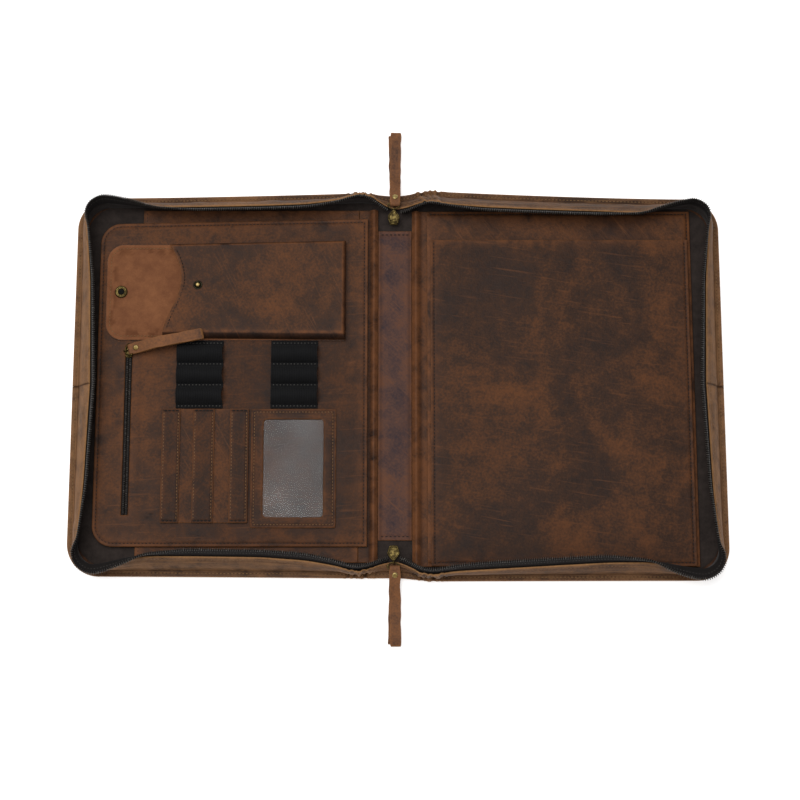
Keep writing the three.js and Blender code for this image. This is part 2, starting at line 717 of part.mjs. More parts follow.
for (const [name, right] of [["left", penRight - PEN_BAND - PEN_BANDS_APART], ["right", penRight]]) {
  const section = thicken(penLine(), ELASTIC);
  const ring = (x) => section.map(([y, z]) => [x, y, z]);
  piece(`pen_loops_${name}`, loft([ring(right - PEN_BAND), ring(right)]), "elastic");
}

// Card slots: a leather behind, and a strip over the edge of each slot
const cardBox = {
  left: idBox.left - COLUMN_GAP - CARDS_WIDTH,
  right: idBox.left - COLUMN_GAP,
  bottom: idBox.top - CARD_HEIGHT,
  top: idBox.top,
};
piece("card_panel", sheet(rectangle(cardBox), ON_ORGANISER_Z, THIN_LEATHER), "leather");
for (let i = 0; i < CARD_STRIPS; i++) {
  const left = cardBox.left + i * CARD_PITCH;
  const strip = rectangle({ ...cardBox, left, right: left + CARD_STRIP });
  piece(`card_strip_${i + 1}`, sheet(strip, ON_CARDS_Z, THIN_LEATHER), "leather");
}

// Pocket with a window, and the clear film in it
const windowBox = {
  left: idBox.left + WINDOW_SIDE,
  right: idBox.right - WINDOW_SIDE,
  bottom: idBox.bottom + WINDOW_TOP,
  top: idBox.top - WINDOW_TOP,
};
const windowCorners = [WINDOW_CORNER, WINDOW_CORNER, WINDOW_CORNER, WINDOW_CORNER];
piece(
  "id_pocket",
  sheet(rectangle(idBox), ON_ORGANISER_Z, THIN_LEATHER, [rectangle(windowBox, windowCorners)]),
  "leather",
);
const filmBox = {
  left: windowBox.left + GAP,
  right: windowBox.right - GAP,
  bottom: windowBox.bottom + GAP,
  top: windowBox.top - GAP,
};
piece("id_window_film", sheet(rectangle(filmBox, windowCorners), ON_ORGANISER_Z, FILM), "film");

// Right half: a panel that is open along the spine side, turned down to the lining on its sewn
// sides, and the pocket for a pad on it
const documentBox = floorBox(
  1,
  STRIP_FROM + HINGE_STRIP - DOCUMENT_OVERLAP,
  reachOf(1) - FLOOR_INSET - DOCUMENT_SIDE,
);
function documentPocket() {
  const leather = sheet(rectangle(documentBox), FLOOR_Z, PANEL_Z + LEATHER - FLOOR_Z);
  const under = PANEL_Z - FLOOR_Z + GAP;
  const hollow = {
    left: documentBox.left - GAP,
    right: documentBox.right - SEAM,
    bottom: documentBox.bottom + SEAM,
    top: documentBox.top - SEAM,
  };
  const overStrip = {
    left: hollow.left,
    right: STRIP_FROM + HINGE_STRIP + GAP,
    bottom: documentBox.bottom - GAP,
    top: documentBox.top + GAP,
  };
  return cut(
    leather,
    sheet(rectangle(hollow), FLOOR_Z - GAP, under),
    sheet(rectangle(overStrip), FLOOR_Z - GAP, under),
  );
}
piece("document_pocket", documentPocket(), "leather");
const padBox = {
  left: documentBox.left + PAD_POCKET_MARGIN,
  right: documentBox.right - PAD_POCKET_MARGIN,
  bottom: documentBox.bottom + GAP,
  top: documentBox.top - PAD_POCKET_HEAD,
};
piece("pad_pocket", sheet(rectangle(padBox), ON_PANEL_Z, LEATHER), "leather");

// Sliders: two shield-shaped plates on a post, with an eye for the pull ring
function shield(length, width) {
  const half = SHIELD.map(({ along, across }) => new THREE.Vector2(length * along, width * across));
  const other = half.slice(1).map(({ x, y }) => new THREE.Vector2(x, -y));
  return [...half, ...other.reverse()];
}
const round = (radius) =>
  Array.from({ length: ROUND }, (_, i) => {
    const angle = (i / ROUND) * 2 * Math.PI;
    return new THREE.Vector2(radius * Math.cos(angle), radius * Math.sin(angle));
  });
const SLIDER_THICKNESS = SLIDER_CHANNEL + 2 * SLIDER_PLATE;
function sliderBody(length, width) {
  const outline = shield(length, width);
  const post = round(SLIDER_POST).map(({ x, y }) => new THREE.Vector2(x + length / 4, y));
  return join(
    sheet(outline, SLIDER_CHANNEL / 2, SLIDER_PLATE),
    sheet(outline, -SLIDER_CHANNEL / 2 - SLIDER_PLATE, SLIDER_PLATE),
    sheet(post, -SLIDER_THICKNESS / 2 + SLIDER_PLATE / 2, SLIDER_THICKNESS - SLIDER_PLATE),
  );
}
const sliderEye = () =>
  sheet(round(EYE_RADIUS), -EYE_WIDTH / 2, EYE_WIDTH, [round(EYE_HOLE)]).rotateX(Math.PI / 2);

// A pull hangs on an eye at the origin and lies towards +x: a wire ring that widens to the strap,
// a strap folded round its far side, and a rivet through both layers.
const STRAP_FOLD = WIRE / 2 + GAP + STRAP_LEATHER / 2;
function pullRing(rise) {
  const near = EYE_WIDTH / 2 + GAP + WIRE / 2 + RING_BEND / 2;
  const far = (STRAP_WIDTH * STRAP_PINCH) / 2 + GAP + WIRE / 2;
  const beside = RING_LENGTH - STRAP_FOLD - STRAP_LEATHER / 2 - GAP;
  const side = [[0, near], [beside, far], [RING_LENGTH, far]];
  const corners = [...side.map(([x, y]) => [x, -y]), ...side.toReversed()].map(
    ([x, y]) => new THREE.Vector2(x, y),
  );
  const path = corners.flatMap((corner, i) => {
    const toward = (other) => other.clone().sub(corner).setLength(RING_BEND).add(corner);
    return [toward(corners.at(i - 1)), toward(corners[(i + 1) % corners.length])];
  });
  const rings = path.map((point, i) => {
    const before = path[(i + path.length - 1) % path.length];
    const after = path[(i + 1) % path.length];
    const along = after.clone().sub(before).normalize();
    return Array.from({ length: 6 }, (_, k) => {
      const angle = (k / 6) * 2 * Math.PI;
      const out = (WIRE / 2) * Math.cos(angle);
      const z = (rise * point.x) / RING_LENGTH + (WIRE / 2) * Math.sin(angle);
      return [point.x - along.y * out, point.y + along.x * out, z];
    });
  });
  return loft(rings, true);
}

// The middle line of the two layers, from the ring outwards: its height and slope.
function pullLine({ start, end, landing }, out) {
  const t = share(out / landing);
  return {
    z: mix(start, end, smooth(t)),
    slope: Math.atan(((end - start) * 6 * t * (1 - t)) / landing),
  };
}

function pullStrap({ length, under, skew, ...route }) {
  const flat = (STRAP_LEATHER + GAP) / 2;
  const closing = (out) => smooth(share(out / STRAP_CLOSING));
  const layer = (out, above) => {
    const { z, slope } = pullLine(route, out);
    const apart = above * mix(STRAP_FOLD, flat, closing(out));
    return [out - apart * Math.sin(slope), z + apart * Math.cos(slope)];
  };
  const outs = Array.from({ length: STRAP_STEPS + 1 }, (_, i) => (i / STRAP_STEPS) ** 1.5);
  const lower = outs.map((t) => layer(t * (length - under), -1)).reverse();
  const upper = outs.map((t) => layer(t * length, 1));
  const bend = Array.from({ length: 5 }, (_, i) => {
    const angle = Math.PI * (1.5 - (i + 1) / 6);
    return [STRAP_FOLD * Math.cos(angle), route.start + STRAP_FOLD * Math.sin(angle)];
  });
  const line = [...lower, ...bend, ...upper];
  const rails = [offset(line, STRAP_LEATHER / 2), offset(line, -STRAP_LEATHER / 2)];
  const rings = line.map((_, i) => {
    const shift = i < lower.length ? skew * share(line[i][0] / length) : 0;
    const [a, b] = rails.map((rail) => rail[i]);
    const half = (STRAP_WIDTH / 2) * mix(STRAP_PINCH, 1, closing(line[i][0]));
    return [
      [a[0], shift - half, a[1]],
      [a[0], shift + half, a[1]],
      [b[0], shift + half, b[1]],
      [b[0], shift - half, b[1]],
    ];
  });
  const seat = pullLine(route, RIVET_FROM_FOLD);
  const hole = sheet(round(RIVET_SHANK + GAP), -4 * STRAP_LEATHER, 8 * STRAP_LEATHER)
    .rotateY(-seat.slope)
    .translate(RIVET_FROM_FOLD, 0, seat.z);
  return cut(loft(rings), hole);
}

function rivet() {
  const face = STRAP_LEATHER + GAP / 2 + GAP;
  return turned([
    [0, -face - RIVET_BACK],
    [RIVET_HEAD * 0.8, -face - RIVET_BACK],
    [RIVET_HEAD * 0.8, -face],
    [RIVET_SHANK, -face],
    [RIVET_SHANK, face],
    [RIVET_HEAD, face],
    [RIVET_HEAD * 0.9, face + RIVET_DOME * 0.6],
    [RIVET_HEAD * 0.45, face + RIVET_DOME],
    [0, face + RIVET_DOME],
  ]);
}

function addPull(names, at, turn, route) {
  const group = new THREE.Group();
  group.position.copy(at);
  group.rotation.z = turn;
  documentCase.add(group);
  piece(names.ring, pullRing(route.start), "brass", group);
  const beyondRing = new THREE.Group();
  beyondRing.position.x = RING_LENGTH;
  group.add(beyondRing);
  piece(names.strap, pullStrap(route), "band", beyondRing);
  const seat = pullLine(route, RIVET_FROM_FOLD);
  const head = piece(names.rivet, rivet(), "brass", beyondRing);
  head.position.set(RIVET_FROM_FOLD, 0, seat.z);
  head.rotation.y = -seat.slope;
}

// The zip's two sliders stand where its halves meet at the ends of the spine, and their straps
// fall over the band to the surface.
const [teethInset, sliderZ] = between(...teethLine(rimPoint(quarterOf(1, 1), 0, 0, 0)), 0.5);
const sliderInset = teethInset + SLIDER_LENGTH * ZIP_ENTRY.along;
const strapOnSurface = STRAP_LEATHER + GAP / 2 - sliderZ;
const ZIP_PULLS = [
  { name: "top", end: 1, length: STRAP_LENGTH_TOP, skew: STRAP_SKEW },
  { name: "bottom", end: -1, length: STRAP_LENGTH_BOTTOM, skew: -STRAP_SKEW },
];
const eyeFromNose = EYE_RADIUS * 0.6;
for (const { name, end, length, skew } of ZIP_PULLS) {
  const spineEdge = HEIGHT * quarterOf(1, end).spine;
  const turn = end * (Math.PI / 2);
  const body = sliderBody(SLIDER_LENGTH, SLIDER_WIDTH);
  const eye = sliderEye().translate(SLIDER_LENGTH / 2 + eyeFromNose, 0, 0);
  const slider = piece(`zip_slider_${name}`, join(body, eye), "brass");
  slider.rotation.z = turn;
  slider.position.set(SLIDER_X, end * (spineEdge - sliderInset), sliderZ);
  const eyeY = spineEdge - sliderInset + SLIDER_LENGTH / 2 + eyeFromNose;
  addPull(
    { ring: `pull_ring_${name}`, strap: `pull_strap_${name}`, rivet: `pull_rivet_${name}` },
    new THREE.Vector3(SLIDER_X, end * eyeY, sliderZ),
    turn,
    {
      length,
      under: STRAP_UNDER_SHORTER,
      skew,
      start: 0,
      end: strapOnSurface,
      landing: STRAP_LANDING,
    },
  );
}

// The pocket's slider stands at the top of its slot, and its strap lies over the phone pocket.
const pocketTurn = THREE.MathUtils.degToRad(POCKET_STRAP_TURN);
const pocketSliderZ = SLOT_TAPE_Z + TAPE / 2;
const pocketEye = new THREE.Vector3(-POCKET_EYE_BACK, 0, SLIDER_THICKNESS / 2 + eyeFromNose);
const pocketSlider = piece(
  "pocket_zip_slider",
  join(
    sliderBody(POCKET_SLIDER_LENGTH, POCKET_SLIDER_WIDTH).rotateZ(Math.PI / 2),
    sliderEye().rotateZ(pocketTurn).translate(...pocketEye),
  ),
  "brass",
);
pocketSlider.position.set(
  (slot.left + slot.right) / 2,
  slot.top - GAP - POCKET_SLIDER_LENGTH / 2,
  pocketSliderZ,
);
const onPhonePocket = PHONE_TOP_Z + GAP + STRAP_LEATHER + GAP / 2;
addPull(
  { ring: "pocket_pull_ring", strap: "pocket_pull_strap", rivet: "pocket_pull_rivet" },
  pocketSlider.position.clone().add(pocketEye),
  pocketTurn,
  {
    length: STRAP_LENGTH_POCKET,
    under: 0,
    skew: 0,
    start: POCKET_RING_RISE,
    end: onPhonePocket - pocketSliderZ - pocketEye.z,
    landing: POCKET_STRAP_LANDING,
  },
);

export default documentCase;
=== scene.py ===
import bpy
import numpy as np
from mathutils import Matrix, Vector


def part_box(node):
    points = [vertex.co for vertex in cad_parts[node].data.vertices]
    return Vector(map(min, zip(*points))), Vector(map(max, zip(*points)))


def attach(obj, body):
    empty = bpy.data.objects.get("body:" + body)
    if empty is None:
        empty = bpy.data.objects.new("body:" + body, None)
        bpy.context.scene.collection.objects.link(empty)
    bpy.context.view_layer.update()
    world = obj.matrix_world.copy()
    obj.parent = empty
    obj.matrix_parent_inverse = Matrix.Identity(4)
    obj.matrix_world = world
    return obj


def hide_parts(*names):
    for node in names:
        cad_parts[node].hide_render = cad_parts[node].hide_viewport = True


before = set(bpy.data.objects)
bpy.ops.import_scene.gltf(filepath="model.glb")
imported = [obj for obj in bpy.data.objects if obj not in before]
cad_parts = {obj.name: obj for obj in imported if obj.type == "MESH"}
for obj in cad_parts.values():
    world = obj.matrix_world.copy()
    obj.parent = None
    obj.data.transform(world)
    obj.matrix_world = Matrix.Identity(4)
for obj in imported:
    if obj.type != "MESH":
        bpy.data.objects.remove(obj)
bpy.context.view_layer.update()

# Studio: white paper under the case, a big soft box overhead and a little to the upper left, and
# a camera almost straight above, 10 degrees towards the case's lower edge. Sizes are in mm here
# and below, in the frame's own axes: x from the spine, y towards the top edge, z up.
CAMERA_AT = (4.4, -254.1, 1378.7)
CAMERA_TILT = 10
CAMERA_LENS = 71.9
SENSOR = 36
PAPER = 4000
PAPER_DROP = 0.4
PAPER_WHITE = "#f6f6f6"
PAPER_GLOW = 0.55
SKY = "#ffffff"
SKY_STRENGTH = 0.4
SOFT_BOX_AT = (-450, 300, 2100)
SOFT_BOX_SIDE = 1500
SOFT_BOX_POWER = 30


def srgb(code):
    """The linear colour of a hex code: c / 12.92 up to 0.04045, then ((c + 0.055) / 1.055) ** 2.4."""
    c = np.array([int(code[i : i + 2], 16) for i in (1, 3, 5)]) / 255
    linear = np.where(c <= 0.04045, c / 12.92, ((c + 0.055) / 1.055) ** 2.4)
    return (*linear.tolist(), 1.0)


def feed(tree, node, inputs):
    """Gives each input of a node a value, or the node or socket that feeds it."""
    for key, value in inputs.items():
        if isinstance(value, bpy.types.Node):
            value = value.outputs[0]
        if isinstance(value, bpy.types.NodeSocket):
            tree.links.new(value, node.inputs[key])
        else:
            node.inputs[key].default_value = value


def add(tree, kind, inputs=None, **settings):
    """Adds a shader node to a tree, with its settings and what feeds its inputs."""
    fresh = tree.nodes.new("ShaderNode" + kind)
    for key, value in settings.items():
        setattr(fresh, key, value)
    feed(tree, fresh, inputs or {})
    return fresh


def finish_material(name):
    """A new material with its node tree and the shader that its finish goes into."""
    material = bpy.data.materials.new(name)
    material.use_nodes = True
    return material, material.node_tree, material.node_tree.nodes["Principled BSDF"]


def outwards(points, faces):
    """Faces turned to look outwards, where the sum of a . (b x c) over their triangles, six times
    the volume inside them, is negative."""
    a, b, c, d = (points[faces[:, k]] for k in range(4))
    volume = (a * np.cross(b, c)).sum() + (a * np.cross(c, d)).sum()
    return faces[:, ::-1] if volume < 0 else faces


def mesh_object(name, points, faces, material, marks=None, flat=None):
    """A smooth mesh from points in mm and four-cornered faces. The materials read marks, how worn
    each point is and how much light or shade is painted on it, and flat, where it lies on the flat piece
    that was cut, in metres."""
    points = np.asarray(points, float).reshape(-1, 3) / 1000
    faces = outwards(points, faces)
    mesh = bpy.data.meshes.new(name)
    mesh.vertices.add(len(points))
    mesh.vertices.foreach_set("co", points.ravel())
    mesh.loops.add(faces.size)
    mesh.loops.foreach_set("vertex_index", faces.astype(np.int32).ravel())
    mesh.polygons.add(len(faces))
    mesh.polygons.foreach_set("loop_start", np.arange(0, faces.size, 4, dtype=np.int32))
    mesh.polygons.foreach_set("use_smooth", np.ones(len(faces), bool))
    mesh.update(calc_edges=True)
    mesh.validate()
    for label, values in (("marks", marks), ("flat", flat)):
        if values is not None:
            layer = mesh.attributes.new(label, "FLOAT_VECTOR", "POINT")
            layer.data.foreach_set("vector", np.asarray(values, float).ravel())
    mesh.materials.append(material)
    made = bpy.data.objects.new(name, mesh)
    bpy.context.scene.collection.objects.link(made)
    return made


paper_white, tree, shader = finish_material("matte white background paper")
feed(tree, shader, {
    "Base Color": srgb(PAPER_WHITE), "Roughness": 0.9, "Specular IOR Level": 0.1,
    "Emission Color": srgb(SKY), "Emission Strength": PAPER_GLOW,
})
sheet_x, sheet_y = np.meshgrid([-PAPER / 2, PAPER / 2], [-PAPER / 2, PAPER / 2])
corners = np.stack([sheet_x, sheet_y, np.full_like(sheet_x, -PAPER_DROP)], -1)
paper = mesh_object("background_paper", corners, np.array([[0, 1, 3, 2]]), paper_white)

scene = bpy.context.scene
scene.view_settings.view_transform = "Standard"
world = bpy.data.worlds.new("white studio")
world.use_nodes = True
scene.world = world
feed(world.node_tree, world.node_tree.nodes["Background"], {"Color": srgb(SKY), "Strength": SKY_STRENGTH})

soft_box = bpy.data.objects.new("soft_box", bpy.data.lights.new("soft_box", "AREA"))
soft_box.data.size = SOFT_BOX_SIDE / 1000
soft_box.data.energy = SOFT_BOX_POWER
soft_box.location = [v / 1000 for v in SOFT_BOX_AT]
aim = -np.array(SOFT_BOX_AT) / np.linalg.norm(SOFT_BOX_AT)
soft_box.rotation_euler = (np.arccos(-aim[2]), 0, np.arctan2(-aim[0], aim[1]))
scene.collection.objects.link(soft_box)

camera = bpy.data.objects.new("camera", bpy.data.cameras.new("camera"))
camera.data.lens = CAMERA_LENS
camera.data.sensor_width = SENSOR
camera.location = [v / 1000 for v in CAMERA_AT]
camera.rotation_euler = (np.radians(CAMERA_TILT), 0, 0)
camera.data.clip_end = 20
scene.collection.objects.link(camera)
scene.camera = camera

# Cover: one skin of oiled cowhide under both halves and the spine, 1.8 mm thick, cut with a plain
# edge. Its outline follows the band, which is sewn to it all round, and the lockstitches show
# underneath it.
COVER_LOW, COVER_HIGH = (np.array(corner) * 1000 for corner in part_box("outer_cover"))
REACH = {-1: -COVER_LOW[0], 1: COVER_HIGH[0]}
SIDES = {-1: "left", 1: "right"}
ENDS = {-1: "bottom", 1: "top"}
CORNER_RADIUS = 28
SHOULDER = 34
# How far each quarter's edge lies from the middle line, as shares of the case's height: at the
# spine, beside the spine and at the outer corner. flare is how far its zip opens out, and worn how
# much paler its band has become.
QUARTERS = {
    (-1, 1): {"spine": 0.5145, "shoulder": 0.5225, "corner": 0.509, "flare": 0.45, "worn": 0},
    (-1, -1): {"spine": 0.495, "shoulder": 0.4955, "corner": 0.491, "flare": 1.1, "worn": 0.4},
    (1, 1): {"spine": 0.5145, "shoulder": 0.528, "corner": 0.506, "flare": 0.15, "worn": 0},
    (1, -1): {"spine": 0.495, "shoulder": 0.503, "corner": 0.5015, "flare": 1.3, "worn": 0.05},
}
HEIGHT = (COVER_HIGH[1] - COVER_LOW[1]) / (QUARTERS[1, 1]["shoulder"] + QUARTERS[1, -1]["shoulder"])
STITCH_INSET = 2.6
STITCH_PITCH = 3.2

HIDE_DARK = "#2d1e17"
HIDE_BODY = "#402a1d"
HIDE_RUBBED = "#6e4428"
HIDE_CUT = "#875a36"
BAND_DARK = "#3c2a1e"
BAND_BODY = "#5a3e2a"
BAND_RUBBED = "#856040"
BAND_CUT = "#a77b50"


def cut_and_marks(tree):
    """The sockets for a point's place on the flat piece and its rubbing with painted light, its cut edge,
    and its dirt with painted shade.
    """
    flat = add(tree, "Attribute", attribute_name="flat").outputs["Vector"]
    marks = add(tree, "Attribute", attribute_name="marks").outputs["Vector"]
    return flat, *add(tree, "SeparateXYZ", {"Vector": marks}).outputs


def oiled_leather(name, dark, body, rubbed_and_lit, cut, roughness, mottle=1.0, grain=0.9, streaks=0.5):
    """Pull-up cowhide: wax and oil in the hide move when it is bent or rubbed, so it clouds from
    dark to light over 80 mm, blots over 13 mm, and shows pale scuffs and paler, drier edges."""
    material, tree, shader = finish_material(name)
    flat, rubbing_and_light, cut_edge, dirt_and_shade = cut_and_marks(tree)
    clouds, blots, grit = (
        add(
            tree, "TexNoise",
            {"Vector": flat, "Scale": scale, "Detail": detail, "Roughness": rough, "Distortion": warp},
        )
        for scale, detail, rough, warp in ((12, 6, 0.55, 0.8), (76, 5, 0.66, 0.3), (480, 4, 0.6, 0))
    )
    mixed = add(tree, "Math", {0: clouds, 1: 1.3}, operation="MULTIPLY")
    mixed = add(tree, "Math", {0: blots, 1: 0.6, 2: mixed}, operation="MULTIPLY_ADD")
    mixed = add(tree, "Math", {0: grit, 1: 0.7, 2: mixed}, operation="MULTIPLY_ADD")
    low = add(tree, "MapRange", {"Value": mixed, "From Min": 1.07, "From Max": 1.32})
    high = add(tree, "MapRange", {"Value": mixed, "From Min": 1.29, "From Max": 1.6})
    lighter = add(tree, "Math", {0: high, 1: 0.75 * mottle}, operation="MULTIPLY")
    # Scuffs: noise drawn out 20 times along the grain of the hide, kept where it peaks
    drawn = add(tree, "Mapping", {"Vector": flat, "Rotation": (0, 0, grain), "Scale": (25, 480, 100)})
    scuffs = add(tree, "TexNoise", {"Vector": drawn, "Scale": 1, "Detail": 3, "Distortion": 0.5})
    peaks = {"Value": scuffs, "From Min": 0.74 - 0.28 * streaks, "From Max": 0.74, "To Max": streaks}
    scuffs = add(tree, "MapRange", peaks)
    # Paler where rubbed, and where a piece paints light, broken up by the blots
    broken = add(tree, "MapRange", {"Value": blots, "From Min": 0.3, "From Max": 0.62})
    worn = add(tree, "Math", {0: rubbing_and_light, 1: broken}, operation="MULTIPLY")
    colour = srgb(dark)
    for share, tint in ((low, body), (lighter, rubbed_and_lit), (scuffs, rubbed_and_lit), (worn, rubbed_and_lit)):
        colour = add(tree, "MixRGB", {"Fac": share, "Color1": colour, "Color2": srgb(tint)})
    # Darker with dirt, and with painted shade where a piece paints it
    soil_and_shade = {"Fac": dirt_and_shade, "Color1": (1, 1, 1, 1), "Color2": (0.32, 0.28, 0.27, 1)}
    soiled_and_shaded = {"Fac": 1, "Color1": colour, "Color2": add(tree, "MixRGB", soil_and_shade)}
    colour = add(tree, "MixRGB", soiled_and_shaded, blend_type="MULTIPLY")
    fibre = add(tree, "MapRange", {"Value": grit, "From Min": 0.35, "From Max": 0.65, "To Min": 0.55})
    fibre = add(tree, "Math", {0: cut_edge, 1: fibre}, operation="MULTIPLY")
    colour = add(tree, "MixRGB", {"Fac": fibre, "Color1": colour, "Color2": srgb(cut)})
    dry = {
        "Value": mixed, "From Min": 1.0, "From Max": 1.6, "To Min": roughness - 0.08,
        "To Max": roughness + 0.1,
    }
    # Grain: pebbles 1.3 mm across, twice the real size so that they show, on creases 7 mm apart
    pebbles = add(tree, "TexVoronoi", {"Vector": flat, "Scale": 770}, feature="F1")
    creases = add(tree, "TexNoise", {"Vector": flat, "Scale": 140, "Detail": 5, "Roughness": 0.7})
    relief = add(tree, "Math", {0: pebbles, 1: 0.3, 2: creases}, operation="MULTIPLY_ADD")
    bump = add(tree, "Bump", {"Strength": 0.45, "Distance": 0.0009, "Height": relief})
    feed(tree, shader, {
        "Base Color": colour, "Roughness": add(tree, "MapRange", dry), "Specular IOR Level": 0.15,
        "Normal": bump,
    })
    return material


def thread(name, colour):
    """Waxed polyester thread: two plies twisted every 1.2 mm, seen as a fine slant on each stitch."""
    material, tree, shader = finish_material(name)
    place_on = add(tree, "TexCoord").outputs["Object"]
    ply = {"Vector": place_on, "Scale": 260, "Distortion": 1.0}
    twist = add(tree, "TexWave", ply, bands_direction="DIAGONAL")
    tint = add(tree, "TexNoise", {"Vector": place_on, "Scale": 180})
    mixed = add(tree, "Math", {0: twist, 1: 0.4, 2: tint}, operation="MULTIPLY_ADD")
    deep = tuple(v * 0.5 for v in srgb(colour)[:3]) + (1,)
    colour = add(tree, "MixRGB", {"Fac": mixed, "Color1": deep, "Color2": srgb(colour)})
    bump = add(tree, "Bump", {"Strength": 0.4, "Distance": 0.0003, "Height": twist})
    feed(tree, shader, {
        "Base Color": colour, "Roughness": 0.6, "Specular IOR Level": 0.3, "Normal": bump,
    })
    return material


hide_leather = oiled_leather(
    "oiled pull-up cowhide", HIDE_DARK, HIDE_BODY, HIDE_RUBBED, HIDE_CUT, roughness=0.58
)
band_leather = oiled_leather(
    "oiled cowhide of the band", BAND_DARK, BAND_BODY, BAND_RUBBED, BAND_CUT, roughness=0.62, grain=0,
    streaks=0.8,
)
tan_thread = thread("tan waxed thread", "#86653f")
dark_thread = thread("dark brown waxed thread", "#241a16")
worn_thread = thread("brown waxed thread, worn pale", "#86623f")


def unit(vectors):
    """Vectors along the last axis, brought to length 1."""
    return vectors / np.linalg.norm(vectors, axis=-1, keepdims=True)


def left_of(directions):
    """Directions in a plane turned 90 degrees to the left."""
    return np.stack([-directions[..., 1], directions[..., 0]], -1)


def distances(path):
    """How far along a path each of its points lies."""
    return np.r_[0, np.cumsum(np.linalg.norm(np.diff(path, axis=0), axis=1))]


def sample(spots, length, values):
    """Each column of values, which are known at length, read at spots."""
    return np.stack([np.interp(spots, length, column) for column in values.T], -1)


def eased(t):
    """Goes from 0 to 1 with level ends, as t * t * (3 - 2 * t)."""
    t = np.clip(t, 0, 1)
    return t * t * (3 - 2 * t)


def bell(distance, width):
    """1 at no distance, falling off as exp(-(distance / width) ** 2)."""
    return np.exp(-((distance / width) ** 2))


def round_off(depth, radius=0.6):
    """How far a rounded edge falls short of a square one at a depth inside it:
    radius - sqrt(radius ** 2 - (radius - depth) ** 2)."""
    return radius - np.sqrt(radius**2 - np.clip(radius - depth, 0, radius) ** 2)


def channel(depth, seam, dip=0.35):
    """The groove that a row of stitches pulls into leather, as a bell curve across it."""
    return dip * bell(depth - seam, 0.9)


def flat_cut(x, y, apart=0.0):
    """Where points lie on the flat piece they were cut as, in metres, with pieces set apart."""
    return np.stack(np.broadcast_arrays(x, y, apart), -1).reshape(-1, 3) / 1000


def marked(*marks):
    """Rubbing and painted light, cut edge, and dirt and painted shade at each point, kept within 0 to 1.
    """
    return np.stack(np.broadcast_arrays(*(np.clip(v, 0, 1) for v in marks)), -1).reshape(-1, 3)


def waves(x, y, size, seed):
    """Soft bumps about size apart, mostly within -1 to 1: the sum of seven waves
    sin(pace * (x cos a + y sin a) + phase) in random directions, divided by 3."""
    rng = np.random.default_rng(seed)
    angles, phases = rng.uniform(0, 2 * np.pi, (2, 7))
    paces = 2 * np.pi / (size * rng.uniform(0.7, 1.6, 7))
    heights = [
        np.sin(pace * (x * np.cos(angle) + y * np.sin(angle)) + phase)
        for angle, pace, phase in zip(angles, paces, phases)
    ]
    return sum(heights) / 3


def ticks(start, stop, step, *seams):
    """Grid lines from start to stop: step apart, and closer beside both ends and beside each seam."""
    near = np.array([0, 0.12, 0.35, 0.7, 1.2, 1.8, 2.4, 3, 3.6, 4.4, 5.4])
    even = np.arange(start + near[-1] + step, stop - near[-1] - step / 3, step)
    lines = [start + near, stop - near, even]
    for seam in seams:
        beside = near[near < 2.5]
        lines = [line[np.abs(line - seam) > beside[-1]] for line in lines] + [seam - beside, seam + beside]
    lines = np.unique(np.concatenate(lines).round(3))
    return lines[(lines >= start) & (lines <= stop)]


def inset(x, y, box, radii=(0, 0, 0, 0)):
    """How far inside a rounded box a point lies: its distance to the nearest side, or near a corner
    of radius r, r minus its distance to that corner's centre."""
    left, right, low, high = box
    depth = np.minimum.reduce([x - left, right - x, y - low, high - y])
    corners = ((x - left, y - low), (right - x, y - low), (right - x, high - y), (x - left, high - y))
    for (across, up), radius in zip(corners, radii):
        a, b = np.maximum(radius - across, 0), np.maximum(radius - up, 0)
        depth = np.where((a > 0) & (b > 0), np.minimum(depth, radius - np.hypot(a, b)), depth)
    return depth


def shell(upper, lower, keep=None):
    """A closed skin over two grids of points: both of them, and walls between them round the
    outside and round the cells that keep leaves out."""
    rows, columns = upper.shape[:2]
    count = rows * columns
    points = np.concatenate([upper.reshape(-1, 3), lower.reshape(-1, 3)])
    index = np.arange(count).reshape(rows, columns)
    a, b, c, d = index[:-1, :-1], index[:-1, 1:], index[1:, 1:], index[1:, :-1]
    if keep is None:
        keep = np.ones(a.shape, bool)
    beyond = np.pad(keep, 1)
    faces = [np.stack([a, b, c, d], -1)[keep], np.stack([d, c, b, a], -1)[keep] + count]
    sides = (
        (a, b, beyond[:-2, 1:-1]),
        (b, c, beyond[1:-1, 2:]),
        (c, d, beyond[2:, 1:-1]),
        (d, a, beyond[1:-1, :-2]),
    )
    for p, q, neighbour in sides:
        open_side = keep & ~neighbour
        p, q = p[open_side], q[open_side]
        faces.append(np.stack([p, p + count, q + count, q], -1))
    return points, np.concatenate(faces)


def slab(x, y, top, bottom, keep=None):
    """A closed skin between two heights over one grid."""
    upper, lower = (np.stack(np.broadcast_arrays(x, y, z), -1) for z in (top, bottom))
    return shell(upper, lower, keep)


def used(points, faces, *values):
    """The points that faces use, the faces renumbered to them, and the values on those points."""
    kept, faces = np.unique(faces, return_inverse=True)
    return (points[kept], faces.reshape(-1, 4), *(value[kept] for value in values))


def place(made, slot, *nodes):
    """Puts a piece on the case: it rides on the one body and stands for its nodes. slot, its finish, is
    not used.
    """
    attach(made, "root")
    if nodes:
        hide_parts(*nodes)
    return made


